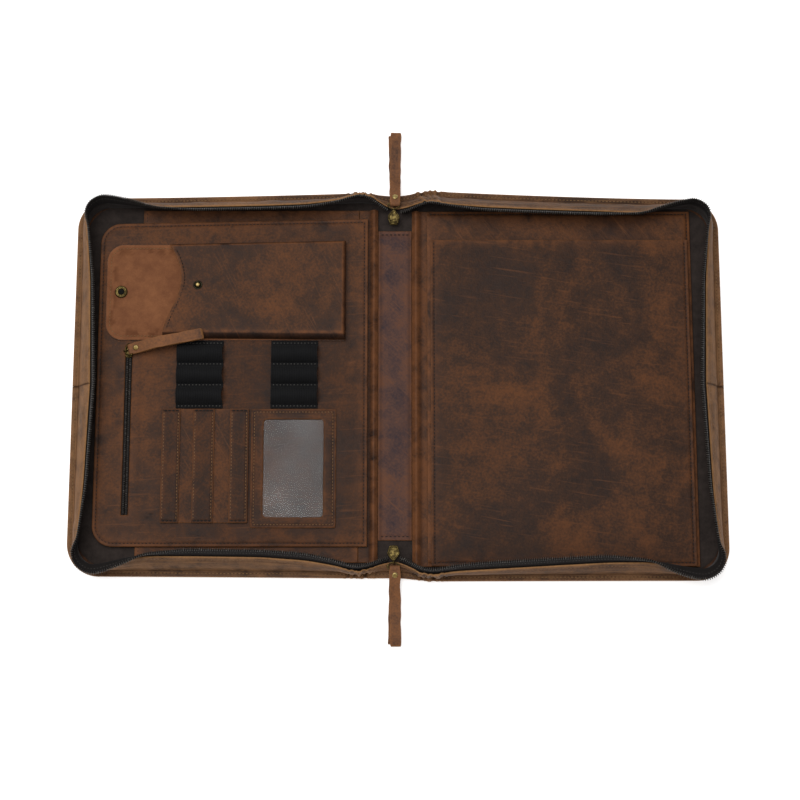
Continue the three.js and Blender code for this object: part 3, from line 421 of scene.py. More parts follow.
def leather_slab(name, nodes, x, y, top, bottom, depth, cut_seed, rub_and_light=None, crease_and_shade=0.0,
                 material=hide_leather, slot="leather", keep=None):
    """A piece of leather on a grid. depth is each point's distance from the cut edge, which sets
    the pale cut face and, where no paleness is given, the rubbed paleness beside it. Some pieces pass
    painted light in with their paleness, and painted shade in with their darkening."""
    points, faces = slab(x, y, top, bottom, keep)
    rubbed_and_lit = 0.85 * np.exp(-depth / 6) if rub_and_light is None else rub_and_light
    marks = marked(rubbed_and_lit, 1 - depth / 0.4, crease_and_shade)
    # Each piece is cut from its own place on the hide, turned by its own angle
    rng = np.random.default_rng(cut_seed)
    angle = rng.uniform(0, 2 * np.pi)
    across, along = x * np.cos(angle) - y * np.sin(angle), x * np.sin(angle) + y * np.cos(angle)
    flat = flat_cut(across, along, 1000 * rng.uniform(1, 9))
    points, faces, marks, flat = used(points, faces, np.tile(marks, (2, 1)), np.tile(flat, (2, 1)))
    return place(mesh_object(name, points, faces, material, marks, flat), slot, *nodes)


def edge_at(side, end, x):
    """How far a quarter's edge lies from the middle line, at x mm from the spine: it eases from
    spine to shoulder, then goes as 1 - (1 - t) ** 1.5 to the corner, where it is an arc."""
    quarter = QUARTERS[side, end]
    spine, shoulder, corner = (quarter[key] for key in ("spine", "shoulder", "corner"))
    beyond = np.clip((x - SHOULDER) / (REACH[side] - CORNER_RADIUS - SHOULDER), 0, 1)
    near = spine + (shoulder - spine) * eased(x / SHOULDER)
    far = shoulder + (corner - shoulder) * (1 - (1 - beyond) ** 1.5)
    return HEIGHT * np.where(x < SHOULDER, near, far) - round_off(REACH[side] - x, CORNER_RADIUS)


def case_grid(margin, step):
    """A grid over both halves whose rows follow the outline at a margin inside it, and how far each
    point lies from that edge."""
    across = ticks(-REACH[-1] + margin, REACH[1] - margin, step)
    share = ticks(0, HEIGHT, step) / HEIGHT
    x, v = np.meshgrid(across, share)
    scale = np.where(x < 0, REACH[-1] / (REACH[-1] - margin), REACH[1] / (REACH[1] - margin))
    ends = {
        end: end * (np.where(x < 0, edge_at(-1, end, -x * scale), edge_at(1, end, x * scale)) - margin)
        for end in (-1, 1)
    }
    y = ends[-1] + v * (ends[1] - ends[-1])
    box = (-REACH[-1] + margin, REACH[1] - margin, ends[-1], ends[1])
    return x, y, inset(x, y, box)


def loft(rings, looped=False):
    """The skin through a run of rings, as (run, round, 3) points. The run is closed by faces over
    its two end rings, or meets itself where it is looped."""
    run, around = rings.shape[:2]
    index = np.arange(run * around).reshape(run, around)
    if looped:
        index = np.concatenate([index, index[:1]])
    here, ahead = index[:-1], index[1:]
    turned = np.roll(here, -1, axis=1), np.roll(ahead, -1, axis=1)
    faces = [np.stack([here, turned[0], turned[1], ahead], -1).reshape(-1, 4)]
    if not looped:
        j = np.arange(around // 2 - 1)
        for ring, order in ((index[0], 1), (index[-1], -1)):
            cap = np.stack([ring[j], ring[around - 1 - j], ring[around - 2 - j], ring[j + 1]], -1)
            faces.append(cap[:, ::order])
    return rings.reshape(-1, 3), np.concatenate(faces)


def repeated(template, faces, at, along, across, up):
    """Copies of a template's points and faces at (n, 3) places, turned to along, across and up."""
    basis = np.stack([along, across, up], 1)
    points = at[:, None] + np.einsum("pk,nkc->npc", template, basis)
    offset = np.arange(len(at))[:, None, None] * len(template)
    return points.reshape(-1, 3), (faces[None] + offset).reshape(-1, 4)


def merged(parts):
    """One set of points and faces from several closed parts, each turned to face outwards."""
    points, faces, count = [], [], 0
    for part_points, part_faces in parts:
        points.append(np.asarray(part_points, float).reshape(-1, 3))
        faces.append(outwards(points[-1], part_faces) + count)
        count += len(points[-1])
    return np.concatenate(points), np.concatenate(faces)


def stitches(name, paths, material, pitch=STITCH_PITCH, share=0.74, width=0.8, slot="leather"):
    """Lockstitches along paths of (n, 3) points in mm: each is a six-sided bar of thread whose
    middle rises as 1 - t ** 4 over the leather and whose ends go down into their holes."""
    t = np.linspace(-1, 1, 5)
    turn = np.arange(6) * np.pi / 3
    slim = np.sqrt(1 - 0.75 * t**2)[:, None]
    bar = np.stack(
        [
            np.repeat(t[:, None], 6, 1) * pitch * share / 2,
            slim * np.cos(turn) * width / 2,
            slim * np.sin(turn) * width / 3 + (0.1 - 0.5 * t**4)[:, None],
        ],
        -1,
    )
    parts = []
    for path in paths:
        path = np.asarray(path, float)
        length = distances(path)
        count = max(1, int(round(length[-1] / pitch)))
        middle = (np.arange(count) + 0.5) * length[-1] / count
        at = sample(middle, length, path)
        along = unit(at - sample(middle - pitch / 2, length, path))
        across = unit(np.cross((0, 0, 1), along))
        parts.append(repeated(*loft(bar), at, along, across, np.cross(along, across)))
    return place(mesh_object(name, *merged(parts), material), slot)


x, y, depth = case_grid(0, 6)
rounded = round_off(depth, 0.5)
under = COVER_LOW[2] + rounded + 0.12 * (1 + waves(x, y, 45, 12)) * np.clip(depth / 4, 0, 1)
fold = bell(np.abs(x) - 14.7, 2.2)
leather_slab(
    "cover_leather", ("outer_cover",), x, y, COVER_HIGH[2] - rounded, under + 0.5 * fold, depth,
    cut_seed=21, crease_and_shade=0.7 * fold, rub_and_light=0.7 * np.exp(-depth / 9) + 0.5 * bell(np.abs(x) - 19, 5),
)

# Lining: black-brown polyester twill glued to the inside of the cover, which shows at both outer
# ends, at the ends of the spine and behind the zip at the corners.
LINING_LOW, LINING_HIGH = (np.array(corner) * 1000 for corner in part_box("lining"))
LINING_MARGIN = REACH[-1] + LINING_LOW[0]
CLOTH_DARK = "#201b19"
CLOTH_LIGHT = "#413834"
TWILL_PITCH = 1.1


def woven(name, dark, light, pitch, ribs=0.0, sheen=0.15):
    """Cloth of threads pitch mm apart, 2 to 3 times the real spacing so that they show: warp and
    weft as two sine waves of the flat cut's x and y, ribs strengthening those across its length."""
    material, tree, shader = finish_material(name)
    flat = add(tree, "Attribute", attribute_name="flat").outputs["Vector"]
    # A wave node of scale s repeats every 2 pi / (20 s)
    scale = 2 * np.pi / 20 / (pitch / 1000)
    waved = {"Vector": flat, "Scale": scale, "Distortion": 0.4}
    warp, weft = (add(tree, "TexWave", waved, bands_direction=way) for way in "XY")
    threads = add(tree, "Math", {0: warp, 1: weft}, operation="MULTIPLY")
    threads = add(tree, "Math", {0: warp, 1: ribs, 2: threads}, operation="MULTIPLY_ADD")
    fluff = add(tree, "TexNoise", {"Vector": flat, "Scale": 130, "Detail": 5, "Roughness": 0.7})
    shade = add(tree, "TexNoise", {"Vector": flat, "Scale": 22, "Detail": 3})
    mixed = add(tree, "Math", {0: threads, 1: 0.35, 2: fluff}, operation="MULTIPLY_ADD")
    mixed = add(tree, "Math", {0: shade, 1: 0.5, 2: mixed}, operation="MULTIPLY_ADD")
    tone = add(tree, "MapRange", {"Value": mixed, "From Min": 0.5, "From Max": 1.25})
    colour = add(tree, "MixRGB", {"Fac": tone, "Color1": srgb(dark), "Color2": srgb(light)})
    bump = add(tree, "Bump", {"Strength": 0.5, "Distance": 0.0004, "Height": mixed})
    feed(tree, shader, {
        "Base Color": colour, "Roughness": 0.9, "Specular IOR Level": 0.12,
        "Sheen Weight": sheen, "Sheen Roughness": 0.5, "Normal": bump,
    })
    return material


lining_twill = woven("black-brown polyester twill", CLOTH_DARK, CLOTH_LIGHT, TWILL_PITCH, sheen=0.08)

x, y, depth = case_grid(LINING_MARGIN, 6)
# Glued cloth puckers where the case folds
pucker = 0.5 * bell(x, 14) * waves(x * 0.4, y, 16, 31) * np.clip(depth / 6, 0, 1)
top = LINING_HIGH[2] + 0.12 * waves(x, y, 26, 32) * np.clip(depth / 5, 0, 1) + np.maximum(pucker, 0)
points, faces = slab(x, y, top, LINING_LOW[2])
flat = np.tile(flat_cut(x, y), (2, 1))
lining = mesh_object("lining_cloth", points, faces, lining_twill, flat=flat)
place(lining, "lining_cloth", "lining")

# Hinge strips: a strip of cowhide on each side of the fold, raised in a soft ridge over a cord
# beside the spine, and glued and sewn to the lining.
RIDGE_RUB_AND_HIGHLIGHT = 0.9
RIDGE_WIDTH = 2.6
RIDGE_FROM_EDGE = 3.5


def box_mm(node):
    """A node's box in mm as left, right, low, high in plan, and its lowest and highest z."""
    low, high = (np.array(corner) * 1000 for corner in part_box(node))
    return (low[0], high[0], low[1], high[1]), low[2], high[2]


def plan(box, step, radii=(0, 0, 0, 0), slope=0.0, seams_x=(), seams_y=()):
    """A grid over a box with rounded corners, and each point's distance inside its edge. A row's
    ends follow the corner arcs, and slope raises the top edge for each mm of x from the left."""
    left, right, low, high = box
    across = (ticks(left, right, step, *seams_x) - left) / (right - left)
    up = (ticks(low, high, step, *seams_y) - low) / (high - low)
    u, v = np.meshgrid(across, up)
    dy = v * (high - low), (1 - v) * (high - low)
    bottom_left, bottom_right, top_right, top_left = radii
    from_left = np.maximum(round_off(dy[0], bottom_left), round_off(dy[1], top_left))
    from_right = np.maximum(round_off(dy[0], bottom_right), round_off(dy[1], top_right))
    x = left + from_left + u * (right - left - from_left - from_right)
    rise = slope * (x - left)
    y = low + v * (high - low + rise)
    return x, y, inset(x, y, (left, right, low, high + rise), radii)


LEATHER = 1.6
# paler lightens each whole strip, and the right one by 0.4 more as painted bounce light. The ridge's crest
# is painted paler, as rubbed wear and as painted highlight.
for name, side, paler, seed in (("left", -1, 0.1, 41), ("right", 1, 0.5, 44)):
    box, low, high = box_mm(f"hinge_strip_{name}")
    x, y, depth = plan(box, 1.2)
    inner = box[1] if side < 0 else box[0]
    from_inner = np.abs(x - inner)
    crest = bell(from_inner - RIDGE_FROM_EDGE, RIDGE_WIDTH)
    lift = (high - low - LEATHER) * crest * (0.94 + 0.06 * waves(x * 0.2, y, 30, seed))
    top = low + LEATHER + lift - round_off(depth) + 0.1 * waves(x, y, 22, seed + 1)
    beside = bell(from_inner - 7.6, 1.6)
    leather_slab(
        f"hinge_leather_{name}", (f"hinge_strip_{name}",), x, y, top, np.maximum(top - LEATHER, low),
        depth, cut_seed=seed, crease_and_shade=0.55 * beside,
        rub_and_light=0.5 * np.exp(-depth / 3) + RIDGE_RUB_AND_HIGHLIGHT * crest + paler,
    )

# Spine patch: a rectangle of darker cowhide over the lining of the fold, tacked with a few dark
# stitches at each end.
PATCH_STITCH = 3.4
dark_hide = oiled_leather(
    "oiled cowhide, dark part of the hide", "#33262a", "#4f3832", "#74492f", HIDE_CUT, roughness=0.6,
    mottle=0.7,
)
box, low, high = box_mm("spine_patch")
x, y, depth = plan(box, 2.2)
ripple = 0.22 * waves(x * 0.5, y, 34, 51) * np.clip(depth / 5, 0, 1)
seam_depth = np.minimum(y - box[2], box[3] - y)
top = high - round_off(depth) + ripple - channel(seam_depth, PATCH_STITCH)
leather_slab(
    "spine_patch_leather", ("spine_patch",), x, y, top, low, depth, cut_seed=52,
    material=dark_hide, crease_and_shade=0.5 * bell(np.abs(x) - 12.5, 1.6),
)
patch_rows = [
    [(box[0] + 2, end, high - 0.15), (box[1] - 2, end, high - 0.15)]
    for end in (box[2] + PATCH_STITCH, box[3] - PATCH_STITCH)
]
stitches("spine_patch_tacks", patch_rows, dark_thread, pitch=3.6, width=0.95)

# Back pocket: a large panel of cowhide on the left lining, which the organiser is sewn over. Its
# left side is a plain cut edge, and it shows above and below the organiser.
EDGE_SEAM = 3
box, low, high = box_mm("back_pocket")
x, y, depth = plan(box, 3.6)
top = high - round_off(depth) + 0.25 * waves(x, y, 55, 61) * np.clip(depth / 8, 0, 1)
leather_slab(
    "back_pocket_leather", ("back_pocket",), x, y, top, low, depth, cut_seed=62,
    rub_and_light=0.8 * np.exp(-depth / 5) + 0.35 + 0.6 * np.exp(-(x - box[0]) / 1.5),
)
left_row = [(box[0] + EDGE_SEAM, end, high - 0.15) for end in (box[2] + 2, box[3] - 2)]
stitches("back_pocket_stitching", [left_row], dark_thread)

# Organiser: two skins of cowhide sewn together 3 mm inside the edge, rounded at its outer corners,
# with a slot for the zip of the pocket behind it. It carries all the pockets of the left half, and
# years of papers have scuffed it.
ORGANISER_CORNER = 18
ORGANISER_SLOPE = 0.02
SLOT_NARROWER = 0.9
organiser_box, organiser_low, organiser_z = box_mm("organiser_panel")
organiser_rise = ORGANISER_SLOPE * (organiser_box[1] - organiser_box[0])
organiser_plan = (*organiser_box[:3], organiser_box[3] - organiser_rise)
zip_left, zip_low, zip_high = box_mm("pocket_zip_left")
zip_right = box_mm("pocket_zip_right")[0]
slot_box = (
    zip_left[0] + SLOT_NARROWER, zip_right[1] - SLOT_NARROWER,
    zip_left[2] + SLOT_NARROWER, zip_left[3] - SLOT_NARROWER,
)


def near_line(x, y, ends, width):
    """1 on a line between two points, falling off beside it as exp(-(distance / width) ** 2)."""
    (x0, y0), (x1, y1) = ends
    dx, dy = x1 - x0, y1 - y0
    along = np.clip(((x - x0) * dx + (y - y0) * dy) / (dx**2 + dy**2), 0, 1)
    return bell(np.hypot(x - x0 - along * dx, y - y0 - along * dy), width)


x, y, depth = plan(
    organiser_plan, 3, (ORGANISER_CORNER, 0, 0, ORGANISER_CORNER), ORGANISER_SLOPE,
    seams_x=slot_box[:2], seams_y=slot_box[2:],
)
middle_x, middle_y = ((v[:-1, :-1] + v[1:, 1:]) / 2 for v in (x, y))
in_slot = inset(middle_x, middle_y, slot_box) > 0
from_slot = -inset(x, y, slot_box)
cut_depth = np.minimum(depth, np.abs(from_slot) + 0.05)
cushion = 0.35 * waves(x, y, 80, 71) + 0.12 * waves(x, y, 19, 72)
# The pocket bag behind is sewn through to the right of the slot, and papers have creased a corner
bag_seam = near_line(x, y, ((-221, 27), (-221, -122)), 0.9)
corner_crease = near_line(x, y, ((-210, -112), (-224, -127)), 0.7)
SCRATCHES = [
    ((-49, 22), (-33, 31), 0.45), ((-52, 19), (-36, 21), 0.4), ((-34, 4), (-30, -8), 0.45),
    ((-60, -8), (-44, -2), 0.4),
]
scratches = sum(near_line(x, y, (start, end), width) for start, end, width in SCRATCHES)
top = organiser_z - round_off(cut_depth, 0.9) - channel(depth, EDGE_SEAM) - 0.5 * bag_seam
top += cushion * np.clip(depth / 10, 0, 1) - 0.4 * corner_crease
slot_rub = 0.6 * np.exp(-np.abs(from_slot) / 3)
# Darker round the pens and the cards
darker_middle = 0.45 * np.exp(-(((x + 105) / 85) ** 4 + ((y + 45) / 110) ** 4))
leather_slab(
    "organiser_leather", ("organiser_panel",), x, y, top, organiser_low, cut_depth,
    cut_seed=73, keep=~in_slot,
    rub_and_light=0.9 * np.exp(-depth / 6) + slot_rub + 0.9 * scratches + 0.2,
    crease_and_shade=0.45 * channel(depth, EDGE_SEAM, dip=1) + 0.6 * bag_seam + 0.9 * corner_crease + darker_middle,
)


def round_box(box, radii):
    """The points of a box's outline, anticlockwise from its bottom left corner: each corner is an
    arc of its radius, each side is divided into equal steps of 2 mm or a little more."""
    left, right, low, high = box
    centres = (
        (left + radii[0], low + radii[0]), (right - radii[1], low + radii[1]),
        (right - radii[2], high - radii[2]), (left + radii[3], high - radii[3]),
    )
    turns = []
    for centre, start, radius in zip(centres, (1, 1.5, 0, 0.5), radii):
        angle = start * np.pi + np.linspace(0, np.pi / 2, 9)
        turns.append(centre + radius * np.stack([np.cos(angle), np.sin(angle)], -1))
    outline = []
    for here, ahead in zip(turns, turns[1:] + turns[:1]):
        count = max(2, int(np.linalg.norm(ahead[0] - here[-1]) / 2))
        share = np.linspace(0, 1, count + 1)[1:-1, None]
        outline += [here, here[-1] + share * (ahead[0] - here[-1])]
    return np.concatenate(outline)


def seam_round(box, radii, seam, z, slope=0.0):
    """A closed row of stitches at seam mm inside a box's outline, at height z."""
    inner = (box[0] + seam, box[1] - seam, box[2] + seam, box[3] - seam)
    line = round_box(inner, [max(r - seam, 0.6) for r in radii])
    line = np.concatenate([line, line[:1]])
    upper = np.clip((line[:, 1] - box[2]) / (box[3] - box[2]), 0, 1)
    y = line[:, 1] + slope * (line[:, 0] - box[0]) * upper
    return np.stack([line[:, 0], y, np.full(len(line), z)], -1)


organiser_radii = (ORGANISER_CORNER, 1, 1, ORGANISER_CORNER)
organiser_row = seam_round(organiser_plan, organiser_radii, EDGE_SEAM, organiser_z - 0.3, ORGANISER_SLOPE)
stitches("organiser_stitching", [organiser_row], dark_thread)

# Zip of the pocket behind the organiser: two woven tapes in the slot, with a coil of small teeth
# along each inner edge.
TAPE_DARK = "#151312"
TAPE_LIGHT = "#24201f"
SMALL_PITCH = 1.6
SMALL_TOOTH = (1.15, 1.7, 1.5)
TAPE_COVERED = 1.2
zip_twill = woven("woven black-brown zip tape", TAPE_DARK, TAPE_LIGHT, 1.2, ribs=0.6, sheen=0.02)


def tooth_material():
    """Blackened metal teeth: dark and half glossy, with paler brass where the slider has rubbed."""
    material, tree, shader = finish_material("blackened brass zip teeth")
    place_on = add(tree, "TexCoord").outputs["Object"]
    wear = add(tree, "TexNoise", {"Vector": place_on, "Scale": 420, "Detail": 4})
    tone = add(tree, "MapRange", {"Value": wear, "From Min": 0.52, "From Max": 0.75})
    colour = add(tree, "MixRGB", {"Fac": tone, "Color1": srgb("#35322f"), "Color2": srgb("#77716a")})
    feed(tree, shader, {"Base Color": colour, "Roughness": 0.45, "Specular IOR Level": 0.35})
    return material


black_teeth = tooth_material()


def tooth(length, width, height):
    """A zip tooth: a block whose head narrows to a nib, as five rings of six points along its
    height, each ring an oblong of that row's length and width."""
    levels = np.array([0, 0.15, 0.5, 0.8, 1.0]) * height
    long = np.array([0.86, 1.0, 0.95, 0.6, 0.3]) * length / 2
    wide = np.array([0.86, 1.0, 1.0, 0.8, 0.5]) * width / 2
    turn = np.array([0.5, 1.5, 3, 3.5, 4.5, 6]) * np.pi / 3
    rings = np.stack(
        [
            np.outer(long, np.sign(np.cos(turn).round(6)) * [0.8, 0.8, 1, 0.8, 0.8, 1]),
            np.outer(wide, [1, 1, 0, -1, -1, 0]),
            np.repeat(levels[:, None], 6, 1),
        ],
        -1,
    )
    return loft(rings)


for name, box, side in (("left", zip_left, 1), ("right", zip_right, -1)):
    shown = (box[0] + TAPE_COVERED, box[1]) if side > 0 else (box[0], box[1] - TAPE_COVERED)
    x, y, depth = plan((*shown, *box[2:]), 1.5)
    bulge = 0.15 * waves(x, y, 9, 81)
    middle = (zip_low + zip_high) / 2
    points, faces = slab(x, y, middle + 0.5 + bulge, middle - 0.5 + bulge)
    flat = np.tile(flat_cut(y, x), (2, 1))
    tape = mesh_object(f"pocket_tape_{name}", points, faces, zip_twill, flat=flat)
    place(tape, "zip_tape", f"pocket_zip_{name}")
    edge = box[1] if side > 0 else box[0]
    at_y = np.arange(box[2] + 2, box[3] - 12, SMALL_PITCH) + (0.8 if side > 0 else 0)
    at = np.stack([np.full_like(at_y, edge - side * 0.6), at_y, np.full_like(at_y, middle)], -1)
    ones = np.ones((len(at), 1))
    turned_to = [ones * axis for axis in ((0, 1, 0), (0, 0, 1), (side, 0, 0))]
    points, faces = repeated(*tooth(*SMALL_TOOTH), at, *turned_to)
    place(mesh_object(f"pocket_teeth_{name}", points, faces, black_teeth), "zip_teeth")

# Phone pocket: a flap of cowhide laid flesh side up, so that its open left end shows orange suede,
# and over it a box of leather with a curved mouth, sewn along three sides. The snap's ring socket
# is on the flap and its domed stud on the pocket.
FLAP_CORNER = 15
FLAP_SEAM = 3.5
MOUTH_DEPTH = 10
MOUTH_UPPER = 11.7
MOUTH_LOWER = 16
STUD_HIGHER = 4.5
MOUTH_APEX = 5.5
MOUTH_SEAM = 3
POCKET_ROUNDING = 3.4
POCKET_SLOPE = 7.5
REST_GAP = 0.25


def napped_leather(name, dark, light):
    """The flesh side of cowhide: a short velvet nap, brushed this way and that in 6 mm patches, so
    it scatters light at its rim."""
    material, tree, shader = finish_material(name)
    flat, rubbing_and_light, _, dirt_and_shade = cut_and_marks(tree)
    brushed = add(tree, "TexNoise", {"Vector": flat, "Scale": 120, "Detail": 6, "Roughness": 0.72})
    stains = add(tree, "TexNoise", {"Vector": flat, "Scale": 30, "Detail": 4, "Roughness": 0.6})
    nap = add(tree, "TexNoise", {"Vector": flat, "Scale": 900, "Detail": 3, "Roughness": 0.7})
    mixed = add(tree, "Math", {0: stains, 1: 0.9, 2: brushed}, operation="MULTIPLY_ADD")
    mixed = add(tree, "Math", {0: nap, 1: 0.5, 2: mixed}, operation="MULTIPLY_ADD")
    tone = add(tree, "MapRange", {"Value": mixed, "From Min": 0.95, "From Max": 1.45})
    tone = add(tree, "Math", {0: rubbing_and_light, 1: 0.35, 2: tone}, operation="MULTIPLY_ADD")
    tone = add(tree, "Clamp", {"Value": tone})
    colour = add(tree, "MixRGB", {"Fac": tone, "Color1": srgb(dark), "Color2": srgb(light)})
    soil_and_shade = {"Fac": dirt_and_shade, "Color1": (1, 1, 1, 1), "Color2": (0.4, 0.33, 0.3, 1)}
    soiled_and_shaded = {"Fac": 1, "Color1": colour, "Color2": add(tree, "MixRGB", soil_and_shade)}
    colour = add(tree, "MixRGB", soiled_and_shaded, blend_type="MULTIPLY")
    bump = add(tree, "Bump", {"Strength": 0.4, "Distance": 0.0006, "Height": mixed})
    feed(tree, shader, {
        "Base Color": colour, "Roughness": 0.95, "Specular IOR Level": 0.1, "Sheen Weight": 0.25,
        "Sheen Roughness": 0.4, "Normal": bump,
    })
    return material


suede = napped_leather("orange-tan suede side of the flap", "#704730", "#85573a")
flap_radii = (FLAP_CORNER, 1, 1, FLAP_CORNER)
flap_box, flap_low, flap_high = box_mm("phone_flap")
pocket_box, pocket_low, pocket_high = box_mm("phone_pocket")
stud_box, stud_low, _ = box_mm("snap_stud")
x, y, depth = plan(flap_box, 2, flap_radii)
lift = 0.5 * np.exp(-(x - flap_box[0]) / 12)
top = flap_high - round_off(depth) - channel(depth, FLAP_SEAM) + lift + 0.15 * waves(x, y, 30, 91)
leather_slab(
    "phone_flap_leather", ("phone_flap",), x, y, top, flap_low - REST_GAP, depth,
    cut_seed=92, material=suede, slot="suede",
    rub_and_light=0.9 * np.exp(-depth / 2.5), crease_and_shade=0.5 * bell(depth - 6.5, 3.5) * (waves(x, y, 12, 93) > 0.1),
)
flap_path = seam_round(flap_box, flap_radii, FLAP_SEAM, flap_high + 0.05)
flap_path = np.roll(flap_path[:-1], -int(flap_path[:, 0].argmax()), axis=0)
open_end = flap_path[flap_path[:, 0] < pocket_box[0] + MOUTH_DEPTH + 4]
stitches("phone_flap_stitching", [open_end], worn_thread, pitch=3.0)

stud_y = sum(stud_box[2:]) / 2 + STUD_HIGHER
mouth_y = stud_y + MOUTH_APEX


def pocket_edges(x):
    """The pocket's sewn long edges at each x: both rise and fall a little towards its right end."""
    share = (x - pocket_box[0]) / (pocket_box[1] - pocket_box[0])
    return pocket_box[2] + 1.5 * (1 - share), pocket_box[3] + 3.2 * share - 0.4


def boxed(depth, radius):
    """The share of full height at a distance inside a box's wall: (1 - (1 - t) ** 2.6) ** (1 / 2.6),
    where t goes from 0 to 1 over the radius."""
    return (1 - (1 - np.clip(depth / radius, 0, 1)) ** 2.6) ** (1 / 2.6)


def mouth_at(y):
    """Where the mouth lies at each y: from its deepest point at mouth_y the edge comes out as
    t ** 1.9 to the upper corner, and eased to the lower one."""
    upper = np.clip((y - mouth_y) / (pocket_box[3] - mouth_y), 0, 1)
    lower = np.clip((mouth_y - y) / (mouth_y - pocket_box[2]), 0, 1)
    out = MOUTH_UPPER * upper**1.9 + MOUTH_LOWER * eased(lower)
    return pocket_box[0] + MOUTH_DEPTH - out


u, v = np.meshgrid(ticks(0, 153, 2.2) / 153, ticks(0, 86, 2) / 86)
x = pocket_box[0] + u * (pocket_box[1] - pocket_box[0])
for _ in range(3):
    low_edge, high_edge = pocket_edges(x)
    y = low_edge + v * (high_edge - low_edge)
    x = mouth_at(y) + u * (pocket_box[1] - mouth_at(y))
from_mouth = (x - mouth_at(y)) * 0.93
# The lower side slopes out over POCKET_SLOPE, the other two stand steep
foot_wall = (y - low_edge) * POCKET_ROUNDING / POCKET_SLOPE
walls = np.minimum.reduce([pocket_box[1] - x, foot_wall, high_edge - y])
pocket_height = pocket_high - pocket_low
sag = 0.9 * np.exp(-(((x + 110) / 45) ** 2 + ((y - mouth_y) / 26) ** 2))
crown = 0.35 * waves(x, y, 48, 95) + 0.12 * waves(x, y, 14, 96) - sag + 0.5 * np.exp(-from_mouth / 8)
calm = np.clip(walls / 8, 0, 1)
mouth_dip = channel(from_mouth, MOUTH_SEAM, dip=0.25)
top = (
    pocket_low - REST_GAP + (pocket_height + REST_GAP) * boxed(walls, POCKET_ROUNDING) + crown * calm
    - mouth_dip * calm - 0.5 * np.exp(-from_mouth / 0.5)
)
inner = boxed(walls - LEATHER * 0.8, POCKET_ROUNDING)
under = pocket_low - REST_GAP + (pocket_height - LEATHER) * inner + crown * calm
under = np.minimum(np.where(walls < LEATHER * 0.8, pocket_low - REST_GAP, under), top - 0.05)
ridge = bell(walls - POCKET_ROUNDING * 0.72, 0.7)
# Painted shade on the lower side's slope, and a line of painted shade along the foot of the walls
seam_shade = 0.75 * (foot_wall < POCKET_ROUNDING * 0.5) * np.clip(foot_wall / 0.7, 0, 1)
leather_slab(
    "phone_pocket_leather", ("phone_pocket",), x, y, top, under, np.minimum(from_mouth, walls + 0.3),
    cut_seed=97, crease_and_shade=seam_shade + 0.5 * np.exp(-walls / 0.5),
    rub_and_light=0.95 * np.exp(-from_mouth / 2) + ridge + 0.1 + 0.4 * np.exp(-(pocket_box[1] - x) / 6),
)
row_y = np.linspace(mouth_y - 44, mouth_y + 26, 40)
mouth_row = np.stack([mouth_at(row_y) + MOUTH_SEAM, row_y, np.full(40, pocket_high + 0.15)], -1)
lower_row = [
    (pocket_box[0] + 4, pocket_box[2] + 2.6, pocket_low + 2.6),
    (pocket_box[1] - 3, pocket_box[2] + 1.6, pocket_low + 2.4),
]
stitches("phone_pocket_stitching", [mouth_row, lower_row], dark_thread, pitch=3.0, width=0.7)


def antique_brass(name, bright, patina):
    """Brass plated steel, darkened and then rubbed: brown patina in patches, yellow where hands
    polish it. A conductor, so its colour is its reflection."""
    material, tree, shader = finish_material(name)
    place_on = add(tree, "TexCoord").outputs["Object"]
    spots = add(tree, "TexNoise", {"Vector": place_on, "Scale": 330, "Detail": 5, "Roughness": 0.65})
    tone = add(tree, "MapRange", {"Value": spots, "From Min": 0.36, "From Max": 0.64})
    colour = add(tree, "MixRGB", {"Fac": tone, "Color1": srgb(patina), "Color2": srgb(bright)})
    rough = add(tree, "MapRange", {"Value": tone, "To Min": 0.58, "To Max": 0.38})
    bump = add(tree, "Bump", {"Strength": 0.2, "Distance": 0.0002, "Height": spots})
    feed(tree, shader, {"Base Color": colour, "Metallic": 1.0, "Roughness": rough, "Normal": bump})
    return material


old_brass = antique_brass("antique brass plate", "#6f6038", "#362c1b")
dark_brass = antique_brass("blackened brass ring", "#3d3a2c", "#1d1b16")
bright_brass = antique_brass("polished brass dome", "#c9b47c", "#8b7444")


def turned(profile, sides=40):
    """The rings of a profile of (radius, z) rows turned about the z axis."""
    turn = np.arange(sides) * 2 * np.pi / sides
    radius, z = np.array(profile, float).T
    x, y = np.outer(radius, np.cos(turn)), np.outer(radius, np.sin(turn))
    return np.stack(np.broadcast_arrays(x, y, z[:, None]), -1)


socket_box, socket_low, _ = box_mm("snap_socket")
socket_at = (sum(socket_box[:2]) / 2, sum(socket_box[2:]) / 2, socket_low - REST_GAP)
SOCKET_PROFILE = [
    (0.3, 0), (5.4, 0), (5.5, 0.4), (5.45, 1.2), (5.1, 1.9), (4.5, 2.2), (3.9, 2.15), (3.6, 1.8),
    (3.3, 1.9), (2.9, 1.85), (2.6, 1.3), (2.4, 0.6), (1.6, 0.5), (1.4, 0.8), (0.9, 0.9), (0.3, 0.9),
]
points, faces = loft(turned(SOCKET_PROFILE) + socket_at)
place(mesh_object("snap_socket_ring", points, faces, old_brass), "brass", "snap_socket")
